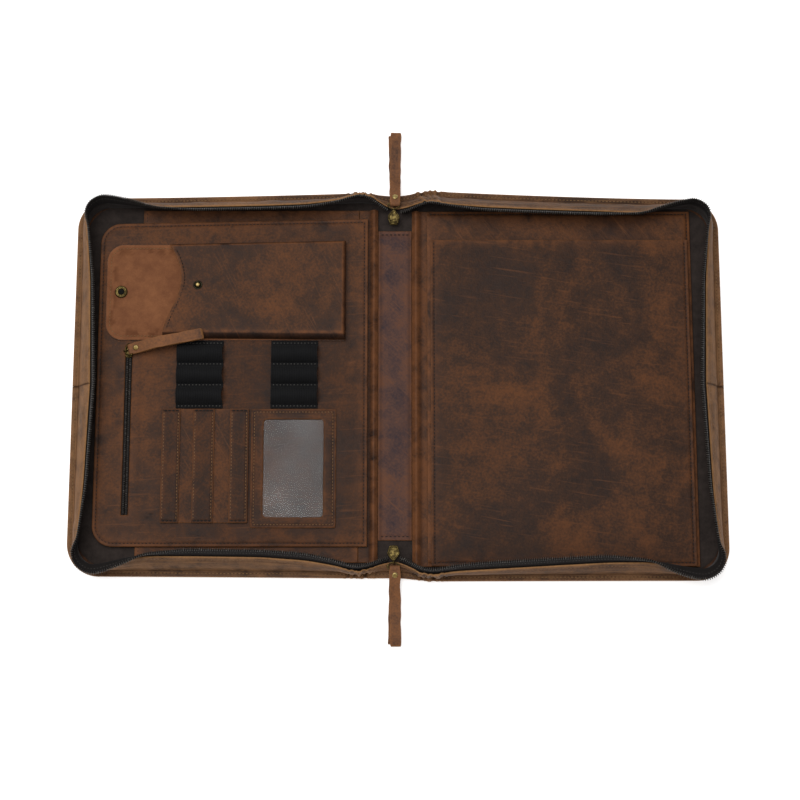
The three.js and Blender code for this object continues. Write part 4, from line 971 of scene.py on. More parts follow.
# A dark disc inside the socket's hollow: painted shade
hollow_shade_disc = woven("painted shade in the snap's hollow", "#0d0c0b", "#1a1815", 0.8)
points, faces = loft(turned([(0.3, 0.75), (2.3, 0.75), (2.3, 0.95), (1.5, 1.0), (0.3, 1.0)]) + socket_at)
place(mesh_object("snap_socket_hollow_shade", points, faces, hollow_shade_disc, flat=points / 1000), "brass")
stud_at = (sum(stud_box[:2]) / 2 + 0.8, stud_y, stud_low - REST_GAP - 0.2)
STUD_RING = [
    (0.2, 0), (3.9, 0), (4.0, 0.5), (3.8, 1.0), (3.3, 1.2), (2.8, 1.05), (2.5, 0.5), (0.2, 0.45),
]
STUD_KNOB = [
    (0.2, 0.3), (1.6, 0.35), (1.5, 1.2), (1.75, 1.7), (1.8, 2.0), (1.45, 2.3), (0.8, 2.4), (0.2, 2.4),
]
points, faces = loft(turned(STUD_RING) + stud_at)
place(mesh_object("snap_stud_ring", points, faces, dark_brass), "brass", "snap_stud")
points, faces = loft(turned(STUD_KNOB) + stud_at)
place(mesh_object("snap_stud_knob", points, faces, bright_brass), "brass")

# Pen loops: two bands of ribbed black elastic, each sewn down along four seams so that it stands
# in three loops.
PEN_LOOPS = 3
PEN_SEAM = 3.4
ELASTIC = 1.0
elastic_weave = woven("ribbed black elastic", "#0b0b0c", "#1a1a1b", 1.5, ribs=1.6, sheen=0.02)
black_thread = thread("black waxed thread", "#191513")
grey_thread = thread("black thread, worn grey", "#55524e")


def thicken(line, thickness, relief=0.0):
    """The closed section round a middle line of (..., k, 2) points: the line moved half the
    thickness to each side along its normal, with two points at each end that round it off. relief
    raises its left side."""
    step = unit(np.gradient(line, axis=-2))
    normal = left_of(step)
    half = thickness / 2
    raised = np.asarray(half + relief)[..., None]
    left, right = line + normal * raised, line - normal * half
    start, end = line[..., :1, :], line[..., -1:, :]
    start_out = start - step[..., :1, :] * half * 0.87
    end_out = end + step[..., -1:, :] * half * 0.87
    start_turn, end_turn = normal[..., :1, :] * half * 0.5, normal[..., -1:, :] * half * 0.5
    return np.concatenate(
        [start_out + start_turn, left, end_out + end_turn, end_out - end_turn, right[..., ::-1, :],
         start_out - start_turn],
        axis=-2,
    )


def around(values):
    """Values on a middle line's k points, repeated for the section that thicken makes of it."""
    ends = values[..., :1], values[..., -1:]
    return np.concatenate([ends[0], values, ends[1], ends[1], values[..., ::-1], ends[0]], axis=-1)


for name in ("left", "right"):
    box, low, high = box_mm(f"pen_loops_{name}")
    pitch = (box[3] - box[2] - PEN_SEAM) / PEN_LOOPS
    across = ticks(box[0], box[1], 2.5)
    t = np.linspace(0.03, 0.97, 17)
    along, rise, held = [[box[3]]], [[0]], [[0]]
    for loop in range(PEN_LOOPS):
        start = box[3] - PEN_SEAM - loop * pitch
        width = pitch - PEN_SEAM
        along += [[start + PEN_SEAM * 0.5, start], start - width * t, [start - width]]
        rise += [[0, 0], np.sin(np.pi * t) ** 0.7, [0]]
        held += [[0, 0], np.sin(np.pi * t), [0]]
    along = np.concatenate([*along, [box[2]]])
    rise, held = (np.concatenate([*values, [0]]) for values in (rise, held))
    slack = 1 - 0.03 * np.cos((across[:, None] - box[0]) / 41 * 2 * np.pi)
    height = low - REST_GAP + ELASTIC / 2 + rise * (high - low - ELASTIC + REST_GAP) * slack
    line = np.stack(np.broadcast_arrays(along, height), -1)
    section = thicken(line, ELASTIC)
    # The sides of a loop draw in by up to 0.6 mm where it stands
    from_middle = (across - across.mean())[:, None] / (across[-1] - across.mean())
    drawn = across[:, None] - 0.6 * around(held) * from_middle
    points, faces = loft(np.concatenate([drawn[..., None], section], -1))
    flat = flat_cut(drawn, around(distances(line[0])))
    band = mesh_object(f"pen_elastic_{name}", points, faces, elastic_weave, flat=flat)
    place(band, "elastic", f"pen_loops_{name}")
    seams = [box[3] - PEN_SEAM / 2 - loop * pitch for loop in range(PEN_LOOPS + 1)]
    rows = [[(box[0] + 1, seam, low + 0.75), (box[1] - 1, seam, low + 0.75)] for seam in seams]
    stitches(f"pen_loop_seams_{name}", rows, grey_thread, pitch=3.1, share=0.6, width=0.75, slot="elastic")

# Card slots: a thin leather sewn to the organiser, and a strip over the open edge of each of its
# three slots. Each strip is sewn down its right side and across both ends, and reaches STRIP_WIDER
# further to the left than its solid.
STRIP_SEAM = 1.7
CARD_STRIPS = 3
STRIP_WIDER = (1.6, 4.2, 1.8)
box, low, high = box_mm("card_panel")
x, y, depth = plan(box, 2)
top = high - round_off(depth, 0.4) + 0.1 * waves(x, y, 20, 101)
leather_slab(
    "card_panel_leather", ("card_panel",), x, y, top, low - REST_GAP, depth,
    cut_seed=102, rub_and_light=0.8 * np.exp(-depth / 2.5), crease_and_shade=0.12,
)
light_rows, dark_rows = [], []
for i in range(CARD_STRIPS):
    box, low, high = box_mm(f"card_strip_{i + 1}")
    box = (box[0] - STRIP_WIDER[i], *box[1:])
    x, y, depth = plan(box, 1.5)
    ends = np.minimum(y - box[2], box[3] - y)
    sewn = np.minimum(box[1] - x, ends)
    open_lip = np.exp(-(x - box[0]) / 1.2)
    top = high - round_off(depth, 0.5) - channel(sewn, STRIP_SEAM) + 0.12 * waves(x, y, 18, 103 + i)
    leather_slab(
        f"card_strip_leather_{i + 1}", (f"card_strip_{i + 1}",), x, y, top, low - REST_GAP, depth,
        cut_seed=107 + i, rub_and_light=0.9 * np.exp(-depth / 1.8) + 0.5 * open_lip,
        crease_and_shade=0.35 + 0.5 * channel(sewn, STRIP_SEAM, dip=1),
    )
    z = high - 0.15
    for side in (box[1] - STRIP_SEAM, box[0] + STRIP_SEAM):
        light_rows.append([(side, box[2] + 3, z), (side, box[3] - 3, z)])
    for end in (box[2] + STRIP_SEAM, box[3] - STRIP_SEAM):
        dark_rows.append([(box[0] + 1.2, end, z), (box[1] - 1.2, end, z)])
stitches("card_strip_stitching", light_rows, worn_thread, pitch=2.8, width=0.7)
stitches("card_strip_tacks", dark_rows, black_thread, pitch=3.1, width=1.1)

# Window pocket: a frame of thin leather sewn round its outside, with a clear vinyl film behind
# its opening.
WINDOW_SEAM = 2.8
FRAME_CORNER = 1.2
WINDOW_CORNER = 3
frame_box, frame_low, frame_high = box_mm("id_pocket")
film_box, _, film_high = box_mm("id_window_film")
window_box = (film_box[0] - 0.3, film_box[1] + 0.3, film_box[2] - 0.3, film_box[3] + 0.3)


def matched(box, radius):
    """A rounded box's outline with 26 points on each of its four sides, from its bottom left corner
    on."""
    outline = round_box(box, [radius] * 4)
    ring = np.concatenate([outline, outline[:1]])
    length = distances(ring)
    left, right, low, high = box
    corners = [(left, low), (right, low), (right, high), (left, high)]
    nearest = [np.hypot(*(outline - corner).T).argmin() for corner in corners]
    reached = [*length[nearest], length[-1] + length[nearest[0]]]
    spots = [np.linspace(a, b, 26, endpoint=False) for a, b in zip(reached, reached[1:])]
    return sample(np.concatenate(spots) % length[-1], length, ring)


outer_ring, inner_ring = matched(frame_box, FRAME_CORNER), matched(window_box, WINDOW_CORNER)
share = np.array([0, 0.04, 0.12, 0.25, 0.45, 0.6, 0.7, 0.76, 0.82, 0.9, 0.97, 1.0])[:, None]
span = np.linalg.norm(outer_ring - inner_ring, axis=1)
spots = inner_ring + share[..., None] * (outer_ring - inner_ring)
from_outer = (1 - share) * span
nearer = np.minimum(from_outer, share * span)
z = frame_high - round_off(nearer, 0.5) - channel(from_outer, WINDOW_SEAM)
z += 0.1 * waves(*spots.transpose(2, 0, 1), 22, 111)
upper = np.concatenate([spots, z[..., None]], -1)
lower = np.concatenate([spots[::-1], np.full((*spots.shape[:2], 1), frame_low - REST_GAP)], -1)
points, faces = loft(np.concatenate([upper, lower]).transpose(1, 0, 2), looped=True)
nearer, from_outer = (np.concatenate([values, values[::-1]]).T for values in (nearer, from_outer))
seam_dirt = 0.15 + 0.5 * channel(from_outer, WINDOW_SEAM, dip=1)
marks = marked(0.9 * np.exp(-nearer / 2), 1 - nearer / 0.35, seam_dirt)
flat = points / 1000 + (3.1, 0, 0)
frame_leather = mesh_object("window_frame_leather", points, faces, hide_leather, marks, flat)
place(frame_leather, "leather", "id_pocket")
frame_row = seam_round(frame_box, [FRAME_CORNER] * 4, WINDOW_SEAM, frame_high - 0.2)
stitches("window_frame_stitching", [frame_row], worn_thread, pitch=2.8, width=0.7)


def clear_vinyl():
    """Pressed vinyl film: clear and glossy with a faint haze, and waves that break up its gloss."""
    material, tree, shader = finish_material("clear vinyl film")
    place_on = add(tree, "TexCoord").outputs["Object"]
    wave = add(tree, "TexNoise", {"Vector": place_on, "Scale": 26, "Detail": 1})
    thick = {"Value": wave, "From Min": 0.3, "From Max": 0.7, "To Min": 0.05, "To Max": 0.09}
    haze = add(tree, "MapRange", thick)
    bump = add(tree, "Bump", {"Strength": 0.2, "Distance": 0.002, "Height": wave})
    feed(tree, shader, {
        "Base Color": srgb("#c4c8ca"), "Alpha": haze, "Roughness": 0.08, "Normal": bump,
    })
    return material


x, y, depth = plan(film_box, 3, [WINDOW_CORNER] * 4)
top = film_high - 0.2 + 0.25 * waves(x, y, 30, 121) * np.clip(depth / 4, 0, 1)
points, faces = slab(x, y, top, top - 0.25)
place(mesh_object("window_film", points, faces, clear_vinyl()), "clear_film", "id_window_film")

# Right half: a large panel of cowhide, open along the spine and sewn down to the lining on its
# other sides, and on it the pocket for a pad, open at the top.
SEWN_EDGE = 6
PAD_SEAM = 3
box, low, high = box_mm("document_pocket")
x, y, depth = plan(box, 3.6)
sewn = np.minimum.reduce([box[1] - x, y - box[2], box[3] - y])
swell = 0.3 * waves(x, y, 75, 131) * np.clip(depth / 8, 0, 1)
top = high - 1.5 * eased(1 - sewn / SEWN_EDGE) - round_off(depth) - channel(sewn, PAD_SEAM) + swell
under = np.maximum(np.where(sewn < SEWN_EDGE * 0.7, low, top - LEATHER), low)
leather_slab(
    "document_pocket_leather", ("document_pocket",), x, y, top, np.minimum(under, top - 0.1), depth,
    cut_seed=132, rub_and_light=0.95 * np.exp(-depth / 5) + 0.3, crease_and_shade=0.4 * channel(sewn, PAD_SEAM, dip=1),
)
left, right, z = box[0] + 2, box[1] - PAD_SEAM, high - 0.75
foot, head = box[2] + PAD_SEAM, box[3] - PAD_SEAM
row = [(left, foot, z), (right, foot, z), (right, head, z), (left, head, z)]
stitches("document_pocket_stitching", [row], dark_thread)
box, low, high = box_mm("pad_pocket")
x, y, depth = plan(box, 3.6)
sewn = np.minimum.reduce([x - box[0], box[1] - x, y - box[2]])
swell = 0.3 * waves(x, y, 90, 141) * np.clip(depth / 8, 0, 1)
top = high - round_off(depth) - channel(sewn, PAD_SEAM) + swell
# Painted shade darkens it towards its foot
leather_slab(
    "pad_pocket_leather", ("pad_pocket",), x, y, top, low - REST_GAP, depth,
    cut_seed=142, rub_and_light=0.85 * np.exp(-depth / 4) + 0.08,
    crease_and_shade=0.1 + 0.3 * np.exp(-(y - box[2]) / 25) + 0.4 * channel(sewn, PAD_SEAM, dip=1),
)
left, right, z = box[0] + PAD_SEAM, box[1] - PAD_SEAM, high - 0.2
foot, head = box[2] + PAD_SEAM, box[3] - 2
row = [(left, head, z), (left, foot, z), (right, foot, z), (right, head, z)]
stitches("pad_pocket_stitching", [row], dark_thread)

# Side band: four strips of lighter cowhide. Each turns out at its foot into a flange that is sewn
# to the cover, and stands up in a wall that leans in. Beside the spine it is low and wrinkled,
# and the strips of a half are joined at the middle of its outer side.
GUSSET = 1.8
FLANGE = 4.4
FLANGE_Z = box_mm("gusset_left_top")[1] + GUSSET / 2
BEND = 1.6
BULGE = 1.2
WALL_HEIGHT = 17
WALL_LEAN = 17
TAPE_HEIGHT = 9.6
TAPE_LEAN = 4
ZIP_FLARE = 7
JOINT = 0.15
RIM_PITCH = 1.6
# How the wall and the zip stand along a quarter. run goes from 0 to 1 along the long side from the
# spine, to 2 round the corner and to 3 along the outer side to its middle. rise and lean place the
# wall's top edge, as shares of WALL_HEIGHT and WALL_LEAN: each quarter has a lean of its own.
# tape_rise, tape_lean and flare place the tape's edge from there.
RIM_COLUMNS = (
    "run", "rise", "left_top", "right_top", "left_bottom", "right_bottom", "tape_rise", "tape_lean",
    "flare",
)
RIM = np.array([
    (0, 0.32, 0.72, 0.72, 0.72, 0.72, 0.4, 0.8, 0),
    (0.03, 0.36, 0.6, 0.7, 0.66, 0.6, 0.44, 0.7, 0),
    (0.08, 0.8, 0.25, 0.68, 0.4, 0.26, 0.8, 0.45, 0),
    (0.13, 1, 0.3, 0.8, 0.22, 0.24, 1, 0.4, 0),
    (0.2, 1, 0.56, 0.88, 0.48, 0.36, 1, 0.7, 0),
    (0.3, 1, 0.72, 0.94, 0.72, 0.44, 1, 1, 0),
    (0.45, 1, 0.75, 0.95, 0.86, 0.56, 1, 1, 0),
    (0.7, 1, 0.74, 0.95, 0.88, 0.76, 1, 1, 0),
    (0.84, 1, 0.72, 0.98, 0.88, 0.78, 1, 0.5, 0.25),
    (0.91, 1.02, 0.56, 0.7, 0.68, 0.58, 1, 0.1, 0.75),
    (1, 1.06, 0.36, 0.36, 0.36, 0.36, 1, 0, 1),
    (1.5, 1.06, 0.36, 0.36, 0.36, 0.36, 1, 0, 0.6),
    (2, 1.04, 0.6, 0.6, 0.6, 0.6, 1, 0.2, 0),
    (2.35, 1, 0.84, 0.84, 0.84, 0.84, 1, 0.7, 0),
    (3, 1, 1, 1, 1, 1, 1, 1, 0),
])
SMOOTHING = 26
CRUMPLED = 50


def rim_share(length, run, column, spots):
    """A column of RIM along a quarter, at spots mm from the spine: straight from row to row, then
    smoothed over SMOOTHING mm."""
    steps = np.arange(0, length[-1] + 1)
    values = np.interp(np.interp(steps, length, run), RIM[:, 0], RIM[:, RIM_COLUMNS.index(column)])
    reach = SMOOTHING // 2
    weights = np.hanning(2 * reach + 3)[1:-1]
    beyond = np.pad(values, reach, "reflect", reflect_type="odd")
    return np.interp(spots, steps, np.convolve(beyond, weights / weights.sum(), "valid"))


def rim(side, end, pitch=RIM_PITCH):
    """Stations along a quarter's outer edge, pitch apart and half of that where it is crumpled, from
    the spine round to the middle of the outer side: their places, how far they are along it, the
    way in, square to the edge, and the wall's top and the tape's edge as (inset, height)."""
    quarter = QUARTERS[side, end]
    bend = REACH[side] - CORNER_RADIUS
    corner = HEIGHT * quarter["corner"] - CORNER_RADIUS
    run = np.r_[np.linspace(0, 1, 500, False), np.linspace(1, 2, 100, False), np.linspace(2, 3, 300)]
    x = JOINT + (bend - JOINT) * np.clip(run, 0, 1)
    turn = (1 - np.clip(run - 1, 0, 1)) * np.pi / 2
    y = np.where(run > 1, corner + CORNER_RADIUS * np.sin(turn), edge_at(side, end, x))
    x = np.where(run > 1, bend + CORNER_RADIUS * np.cos(turn), x)
    y = np.where(run > 2, corner + (JOINT - corner) * (run - 2), y)
    edge = np.stack([x, y], -1)
    length = distances(edge)
    beyond = np.linspace(CRUMPLED, length[-1], int((length[-1] - CRUMPLED) / pitch) + 1)
    even = np.r_[np.arange(0, CRUMPLED - 0.1, pitch / 2), beyond]
    at = sample(even, length, edge) * (side, end)
    inward = left_of(unit(np.gradient(at, even, axis=0))) * (-side * end)
    columns = (f"{SIDES[side]}_{ENDS[end]}", "rise", "tape_lean", "tape_rise", "flare")
    lean, rise, tape_lean, tape_rise, flare = (rim_share(length, run, name, even) for name in columns)
    top_inset = WALL_LEAN * lean
    top_z = FLANGE_Z + WALL_HEIGHT * rise
    zip_inset = top_inset + TAPE_LEAN * tape_lean - ZIP_FLARE * quarter["flare"] * flare
    zip_z = top_z + TAPE_HEIGHT * tape_rise
    return at, even, inward, np.stack([top_inset, top_z], -1), np.stack([zip_inset, zip_z], -1)


# Where the wall begins, above the bend, as (inset, height)
FOOT = np.array([FLANGE + BEND, FLANGE_Z + BEND])


def wall_line(top, t):
    """The band's middle line from foot to top, as (inset, height): straight but for a bulge of
    4 t (1 - t) outwards."""
    line = FOOT + (top[:, None] - FOOT) * t[None, :, None]
    line[..., 0] -= BULGE * 4 * t * (1 - t)
    return line


def stand(at, inward, line):
    """Points in space of (inset, height) lines, one line for each station."""
    ground = at[:, None] + inward[:, None] * line[..., :1]
    return np.concatenate([ground, line[..., 1:]], -1)


def beside_spine(along):
    """1 at 30 mm from the spine, falling off as exp(-((along - 30) / 13) ** 4)."""
    return np.exp(-(((along - 30) / 13) ** 4))


def crumpled(along, up, seed):
    """Wrinkles of the band beside the spine: sharp folds 1 - |sin| that slant as they climb,
    strongest 16 to 46 mm from the spine."""
    rng = np.random.default_rng(seed)
    slants = rng.uniform(-9, 9, 3)
    folds = sum(
        (1 - np.abs(np.sin(np.pi * (along + slant * up) / pitch + rng.uniform(0, 3)))) ** 1.3
        for slant, pitch in zip(slants, (13, 8, 5))
    )
    return beside_spine(along) * folds / 2


def thread_at(at, inward, line_at):
    """A path along the band at each station's (inset, height)."""
    return stand(at, inward, line_at[:, None])[:, 0]


TOP_SEAM = 2.6
band_thread = thread("brown waxed thread", "#7d5c3c")
# The section of the flange and of the bend up into the wall, the same all round: the bend is the
# curve (1 - s) ** 2 hem + 2 s (1 - s) knee + s ** 2 foot
flange_steps = np.r_[0, 0.3, 0.9, 1.5, 1.9, 2.2, 2.5, 2.8, 3.1, 3.6, 4.1]
flat_part = np.stack([flange_steps, np.full_like(flange_steps, FLANGE_Z)], -1)
hem, knee = np.array([FLANGE, FLANGE_Z]), np.array([FLANGE + 0.8 * BEND, FLANGE_Z])
s = np.linspace(0, 1, 6)[1:-1, None]
low_part = np.concatenate([flat_part, (1 - s) ** 2 * hem + 2 * s * (1 - s) * knee + s**2 * FOOT])
wall_t = np.r_[0, 0.06, 0.14, 0.24, 0.36, 0.48, 0.6, 0.7, 0.78, 0.84, 0.89, 0.94, 0.98, 1]
climb = np.r_[np.zeros(len(flange_steps)), s[:, 0] * 0.1, 0.1 + 0.9 * wall_t]
on_flange = climb == 0
flange_rows, top_rows = [], []
for seed, (side, end) in enumerate(QUARTERS):
    at, even, inward, top, _ = rim(side, end)
    line = np.concatenate([np.repeat(low_part[None], len(at), 0), wall_line(top, wall_t)], 1)
    creased = crumpled(even[:, None], climb, 150 + seed)
    near_spine = beside_spine(even[:, None])
    soft = waves(even[:, None] + 900 * seed, climb * 24, 26, 154)
    normal = left_of(unit(np.gradient(line, axis=1)))
    out = 3.6 * creased * (1 - 0.6 * climb) + np.maximum(soft, 0) * 1.1 * np.minimum(climb, 1 - climb)
    line = line + normal * out[..., None]
    line[..., 0] -= (creased - 0.3 * near_spine) * on_flange
    # The flange is pulled down by its seam, and hollowed along the stitches
    seam_dip = 0.35 * bell(line[..., 0] - STITCH_INSET, 0.9) * on_flange
    top_dip = 0.3 * bell((climb - 1) * 22 + TOP_SEAM, 0.8) * (climb > 0.5)
    section = thicken(line, GUSSET, relief=-(seam_dip + top_dip))
    points, faces = loft(stand(at, inward, section))
    reach = distances(line[len(line) // 2])
    to_joint = (even[-1] - even)[:, None]
    folded = 0.75 * bell(reach - 6.6, 1.3) + 0.3 * bell(reach - 12, 4)
    ends_rub = 0.8 * np.exp(-(reach[-1] - reach) / 1.2) + 0.5 * np.exp(-to_joint / 5)
    # Paler on the crests of the wrinkles, as rubbed wear and as painted highlight, and painted light on
    # the walls that face left and right
    rub_and_light = folded + ends_rub + 1.5 * creased**2 + 0.7 * np.abs(inward[:, :1]) ** 3
    rub_and_light = rub_and_light + QUARTERS[side, end]["worn"]
    # Darker at the foot of the wall, along the stitches and at the joint, and painted shade in the troughs
    # of the wrinkles beside the spine
    dirt_and_shade = 0.8 * bell(reach - 4.9, 0.55) + 0.35 * bell(reach - STITCH_INSET, 0.7)
    dirt_and_shade = dirt_and_shade + 0.9 * near_spine * np.clip(1 - creased / 0.35, 0, 1) + 0.8 * np.exp(-to_joint / 0.7)
    cut_face = np.zeros(section.shape[1])
    cut_face[[0, len(cut_face) // 2 - 1, len(cut_face) // 2, -1]] = 1
    marks = marked(around(rub_and_light), cut_face, around(dirt_and_shade))
    flat = flat_cut(even[:, None], around(reach), 800.0 * seed)
    name = f"{SIDES[side]}_{ENDS[end]}"
    band = mesh_object(f"band_leather_{name}", points, faces, band_leather, marks, flat)
    place(band, "band_leather", f"gusset_{name}")
    seam_at = int(np.abs(reach - STITCH_INSET).argmin())
    sewn = even < even[-1] - 6
    flange_z = line[:, seam_at, 1] + GUSSET / 2 - 0.25
    flange_line = np.stack([line[:, seam_at, 0], flange_z], -1)
    flange_rows.append(thread_at(at[sewn], inward[sewn], flange_line[sewn]))
    near_top = int(np.abs(reach[-1] - reach - TOP_SEAM).argmin())
    top_line = line[:, near_top] + normal[:, near_top] * (GUSSET / 2 - 0.25)
    top_rows.append(thread_at(at, inward, top_line))
stitches("flange_stitching", flange_rows, tan_thread, slot="band_leather")
stitches("band_top_stitching", top_rows, band_thread, width=0.6, slot="band_leather")

# Wall lining and zip: black twill inside the band, and from a little below the band's top edge
# the zip's woven tape, which ends in a cord that carries the teeth. TAPE_FROM is the share of the
# wall's height where the tape starts.
WALL_LINING = 1.0
CLOTH_PITCH = 2.1
TAPE = 0.9
WALL_GAP = 0.5
TAPE_FROM = 0.725
TEETH_PITCH = 1.9
TOOTH = (1.0, 2.5, 2.4)
CORD_RADIUS = 0.85
SLIDER_WIDTH = 10.4
ZIP_ENTRY = 0.36
slider_box = box_mm("zip_slider_top")[0]
SLIDER_X = (slider_box[0] + slider_box[1]) / 2


def half_rim(side):
    """The stations of a half's rim, from the top of the spine round to its foot."""
    upper, lower = rim(side, 1, CLOTH_PITCH), rim(side, -1, CLOTH_PITCH)
    length = upper[1][-1] + lower[1][-1]
    flipped = (lower[0][::-1], length - lower[1][::-1], *(values[::-1] for values in lower[2:]))
    return [np.concatenate([a, b[1:]]) for a, b in zip(upper, flipped)]


def inner_line(top, zip_edge, from_t, to_t, to_zip):
    """The line of the lining and the tape, which run inside the band at a set distance: shares of
    the wall from from_t to to_t, then, where to_zip is set, on to the tape's edge."""
    t = np.linspace(from_t, to_t, 8)
    line = wall_line(top, t)
    if to_zip:
        s = np.linspace(0, 1, 8)[1:, None]
        line = np.concatenate([line, top[:, None] + (zip_edge - top)[:, None] * s], 1)
    step = np.gradient(line, axis=1)
    step = step + np.roll(step, 1, 1) + np.roll(step, -1, 1)
    step[:, 0], step[:, -1] = step[:, 1], step[:, -2]
    step = unit(step)
    return line - left_of(step) * (GUSSET / 2 + WALL_GAP + WALL_LINING / 2), step


def strip(name, at, even, inward, line, thickness, material, slot, node):
    """A strip of cloth that follows a line round the rim, its weave running along it."""
    points, faces = loft(stand(at, inward, thicken(line, thickness)))
    flat = flat_cut(even[:, None], around(distances(line[len(line) // 2])))
    place(mesh_object(name, points, faces, material, flat=flat), slot, node)


def cord_rings(path, radius, aside, over, sides):
    """Rings of points round a path, turned from aside to over at each of its points."""
    turn = (np.arange(sides) * 2 * np.pi / sides)[:, None]
    return path[:, None] + radius * (aside[:, None] * np.cos(turn) + over[:, None] * np.sin(turn))


tape_rows = []
for side, name in SIDES.items():
    at, even, inward, top, zip_edge = half_rim(side)
    line, _ = inner_line(top, zip_edge, 0.03, TAPE_FROM - 0.02, False)
    columns = np.arange(line.shape[1])
    billow = 0.5 * np.maximum(waves(even[:, None], columns * 1.2, 24, 161 + side), 0)
    line[..., 0] += billow * np.sin(np.pi * columns / columns[-1])
    # Its foot is turned down to the cover, behind the puckers of the band
    line[:, 0, 1] = FLANGE_Z - GUSSET / 2 + WALL_LINING / 2
    strip(
        f"wall_twill_{name}", at, even, inward, line, WALL_LINING, lining_twill, "lining_cloth",
        f"wall_lining_{name}",
    )

    slider_side = SLIDER_WIDTH * ZIP_ENTRY + 0.3 + side * SLIDER_X
    zipped = np.abs(at[:, 0]) > slider_side
    at, even, inward, top, zip_edge = (values[zipped] for values in (at, even, inward, top, zip_edge))
    line, step = inner_line(top, zip_edge, TAPE_FROM, 1, True)
    strip(
        f"zip_tape_weave_{name}", at, even, inward, line, TAPE, zip_twill, "zip_tape", f"zip_tape_{name}"
    )

    # A row of stitches on whichever face of the tape looks up
    way = step[:, -4]
    facing_up = np.sign(way[:, :1]) * left_of(way)
    tape_rows.append(thread_at(at, inward, line[:, -4] + facing_up * (TAPE / 2 - 0.1)))

    # The cord along the tape's edge, and the teeth on it, whose nibs point away from the band
    way = step[:, -1]
    spots = thread_at(at, inward, line[:, -1])
    up = np.concatenate([inward * way[:, :1], way[:, 1:]], 1)
    length = distances(spots)
    along = unit(np.gradient(spots, axis=0))
    across = unit(np.cross(up, along))
    points, faces = loft(cord_rings(spots - up * 0.4, CORD_RADIUS, across, up, 8))
    flat = flat_cut(length[:, None], np.arange(8) * np.pi / 4)
    place(mesh_object(f"zip_cord_{name}", points, faces, zip_twill, flat=flat), "zip_tape")
    along_zip = np.arange(TEETH_PITCH / 2, length[-1], TEETH_PITCH)
    set_in = (sample(along_zip, length, values) for values in (spots, along, across, up))
    points, faces = repeated(*tooth(*TOOTH), *set_in)
    row = mesh_object(f"zip_teeth_row_{name}", points, faces, black_teeth)
    place(row, "zip_teeth", f"zip_teeth_{name}")
stitches("zip_tape_stitching", tape_rows, grey_thread, pitch=2.7, share=0.6, width=0.6, slot="zip_tape")

# Sliders: two shield-shaped plates of antique brass on a post, joined along both sides behind it.
# The upper plate has a raised rim, and an eye at its nose holds the pull's ring.
SLIDER_LENGTH = 13
SHIELD = np.array([(0.5, 0), (0.46, 0.13), (0.07, 0.5), (-0.07, 0.49), (-0.5, 0.33)])
EYE_RING = 1.6
EYE_WIRE = 0.5
EYE_FROM_NOSE = 1.26
UPPER_PLATE = [
    (4.6, 0.8), (0.3, 0.8), (0, 1.05), (0, 1.85), (0.2, 2.2), (0.55, 2.3), (0.9, 2.2), (1.15, 1.9),
    (2.4, 1.85), (4.6, 1.95),
]
SIDE_BAR = np.array([(0, -0.4, -1.2), (0, 0.4, -1.2), (0, 0.4, 1.2), (0, -0.4, 1.2)])
LOWER_PLATE = [(4.6, -0.8), (0.3, -0.8), (0, -1.05), (0, -1.9), (0.4, -2.25), (4.6, -2.3)]


def cut_corners(ring, *shares):
    """A closed outline with its corners cut off at a share of each side, once for each share, which
    rounds them."""
    for share in shares:
        ahead = np.roll(ring, -1, 0)
        near, far = ring * (1 - share) + ahead * share, ring * share + ahead * (1 - share)
        ring = np.stack([near, far], 1).reshape(-1, 2)
    return ring


def shield(length, width):
    """A slider plate's outline: SHIELD and its mirror image, rounded."""
    ring = np.concatenate([SHIELD, (SHIELD[1:] * (1, -1))[::-1]]) * (length, width)
    return cut_corners(ring, 0.1, 0.25, 0.25)


def plate(outline, rows, scale):
    """A plate through rings of an outline, one for each row of (inset, z)."""
    mean = np.linalg.norm(outline, axis=1).mean()
    rings = [np.c_[outline * (1 - inset * scale / mean), np.full(len(outline), z)] for inset, z in rows]
    return loft(np.array(rings))


def wire(path, radius, up=(0, 0, 1)):
    """A round wire along a closed path of (n, 3) points."""
    ahead = unit(np.roll(path, -1, 0) - np.roll(path, 1, 0))
    aside = unit(np.cross(ahead, up))
    return loft(cord_rings(path, radius, aside, np.cross(aside, ahead), 10), looped=True)


def turn_to(points, at, angle):
    """Points in mm turned about z and moved to a place."""
    points = np.asarray(points, float).reshape(-1, 3)
    c, s = np.cos(angle), np.sin(angle)
    x, y = points[:, 0] * c - points[:, 1] * s, points[:, 0] * s + points[:, 1] * c
    return np.stack([x, y, points[:, 2]], -1) + at


def eye(at, angle):
    """The standing eye that a pull's ring passes through."""
    turn = np.linspace(0, 2 * np.pi, 28, endpoint=False)
    circle = np.stack([EYE_RING * np.cos(turn), np.zeros(28), EYE_RING * np.sin(turn)], -1)
    points, faces = wire(circle, EYE_WIRE, up=(0, 1, 0))
    return turn_to(points, at, angle), faces


def slider(length, width):
    """A slider about its own middle, its nose towards +x."""
    outline, scale = shield(length, width), width / SLIDER_WIDTH
    parts = [plate(outline, UPPER_PLATE, scale), plate(outline, LOWER_PLATE, scale)]
    post = turned([(0.1, -1.5), (0.8, -1.4), (0.8, 1.4), (0.1, 1.5)], 20)
    parts.append(loft(post + np.array([length / 4, 0, 0])))
    for aside in (-1, 1):
        ends = np.array([(-0.44, 0.36), (-0.02, 0.47)]) * (length, width * aside) - (0, 0.55 * aside)
        parts.append(loft(SIDE_BAR + np.c_[ends, [0, 0]][:, None]))
    return merged(parts)


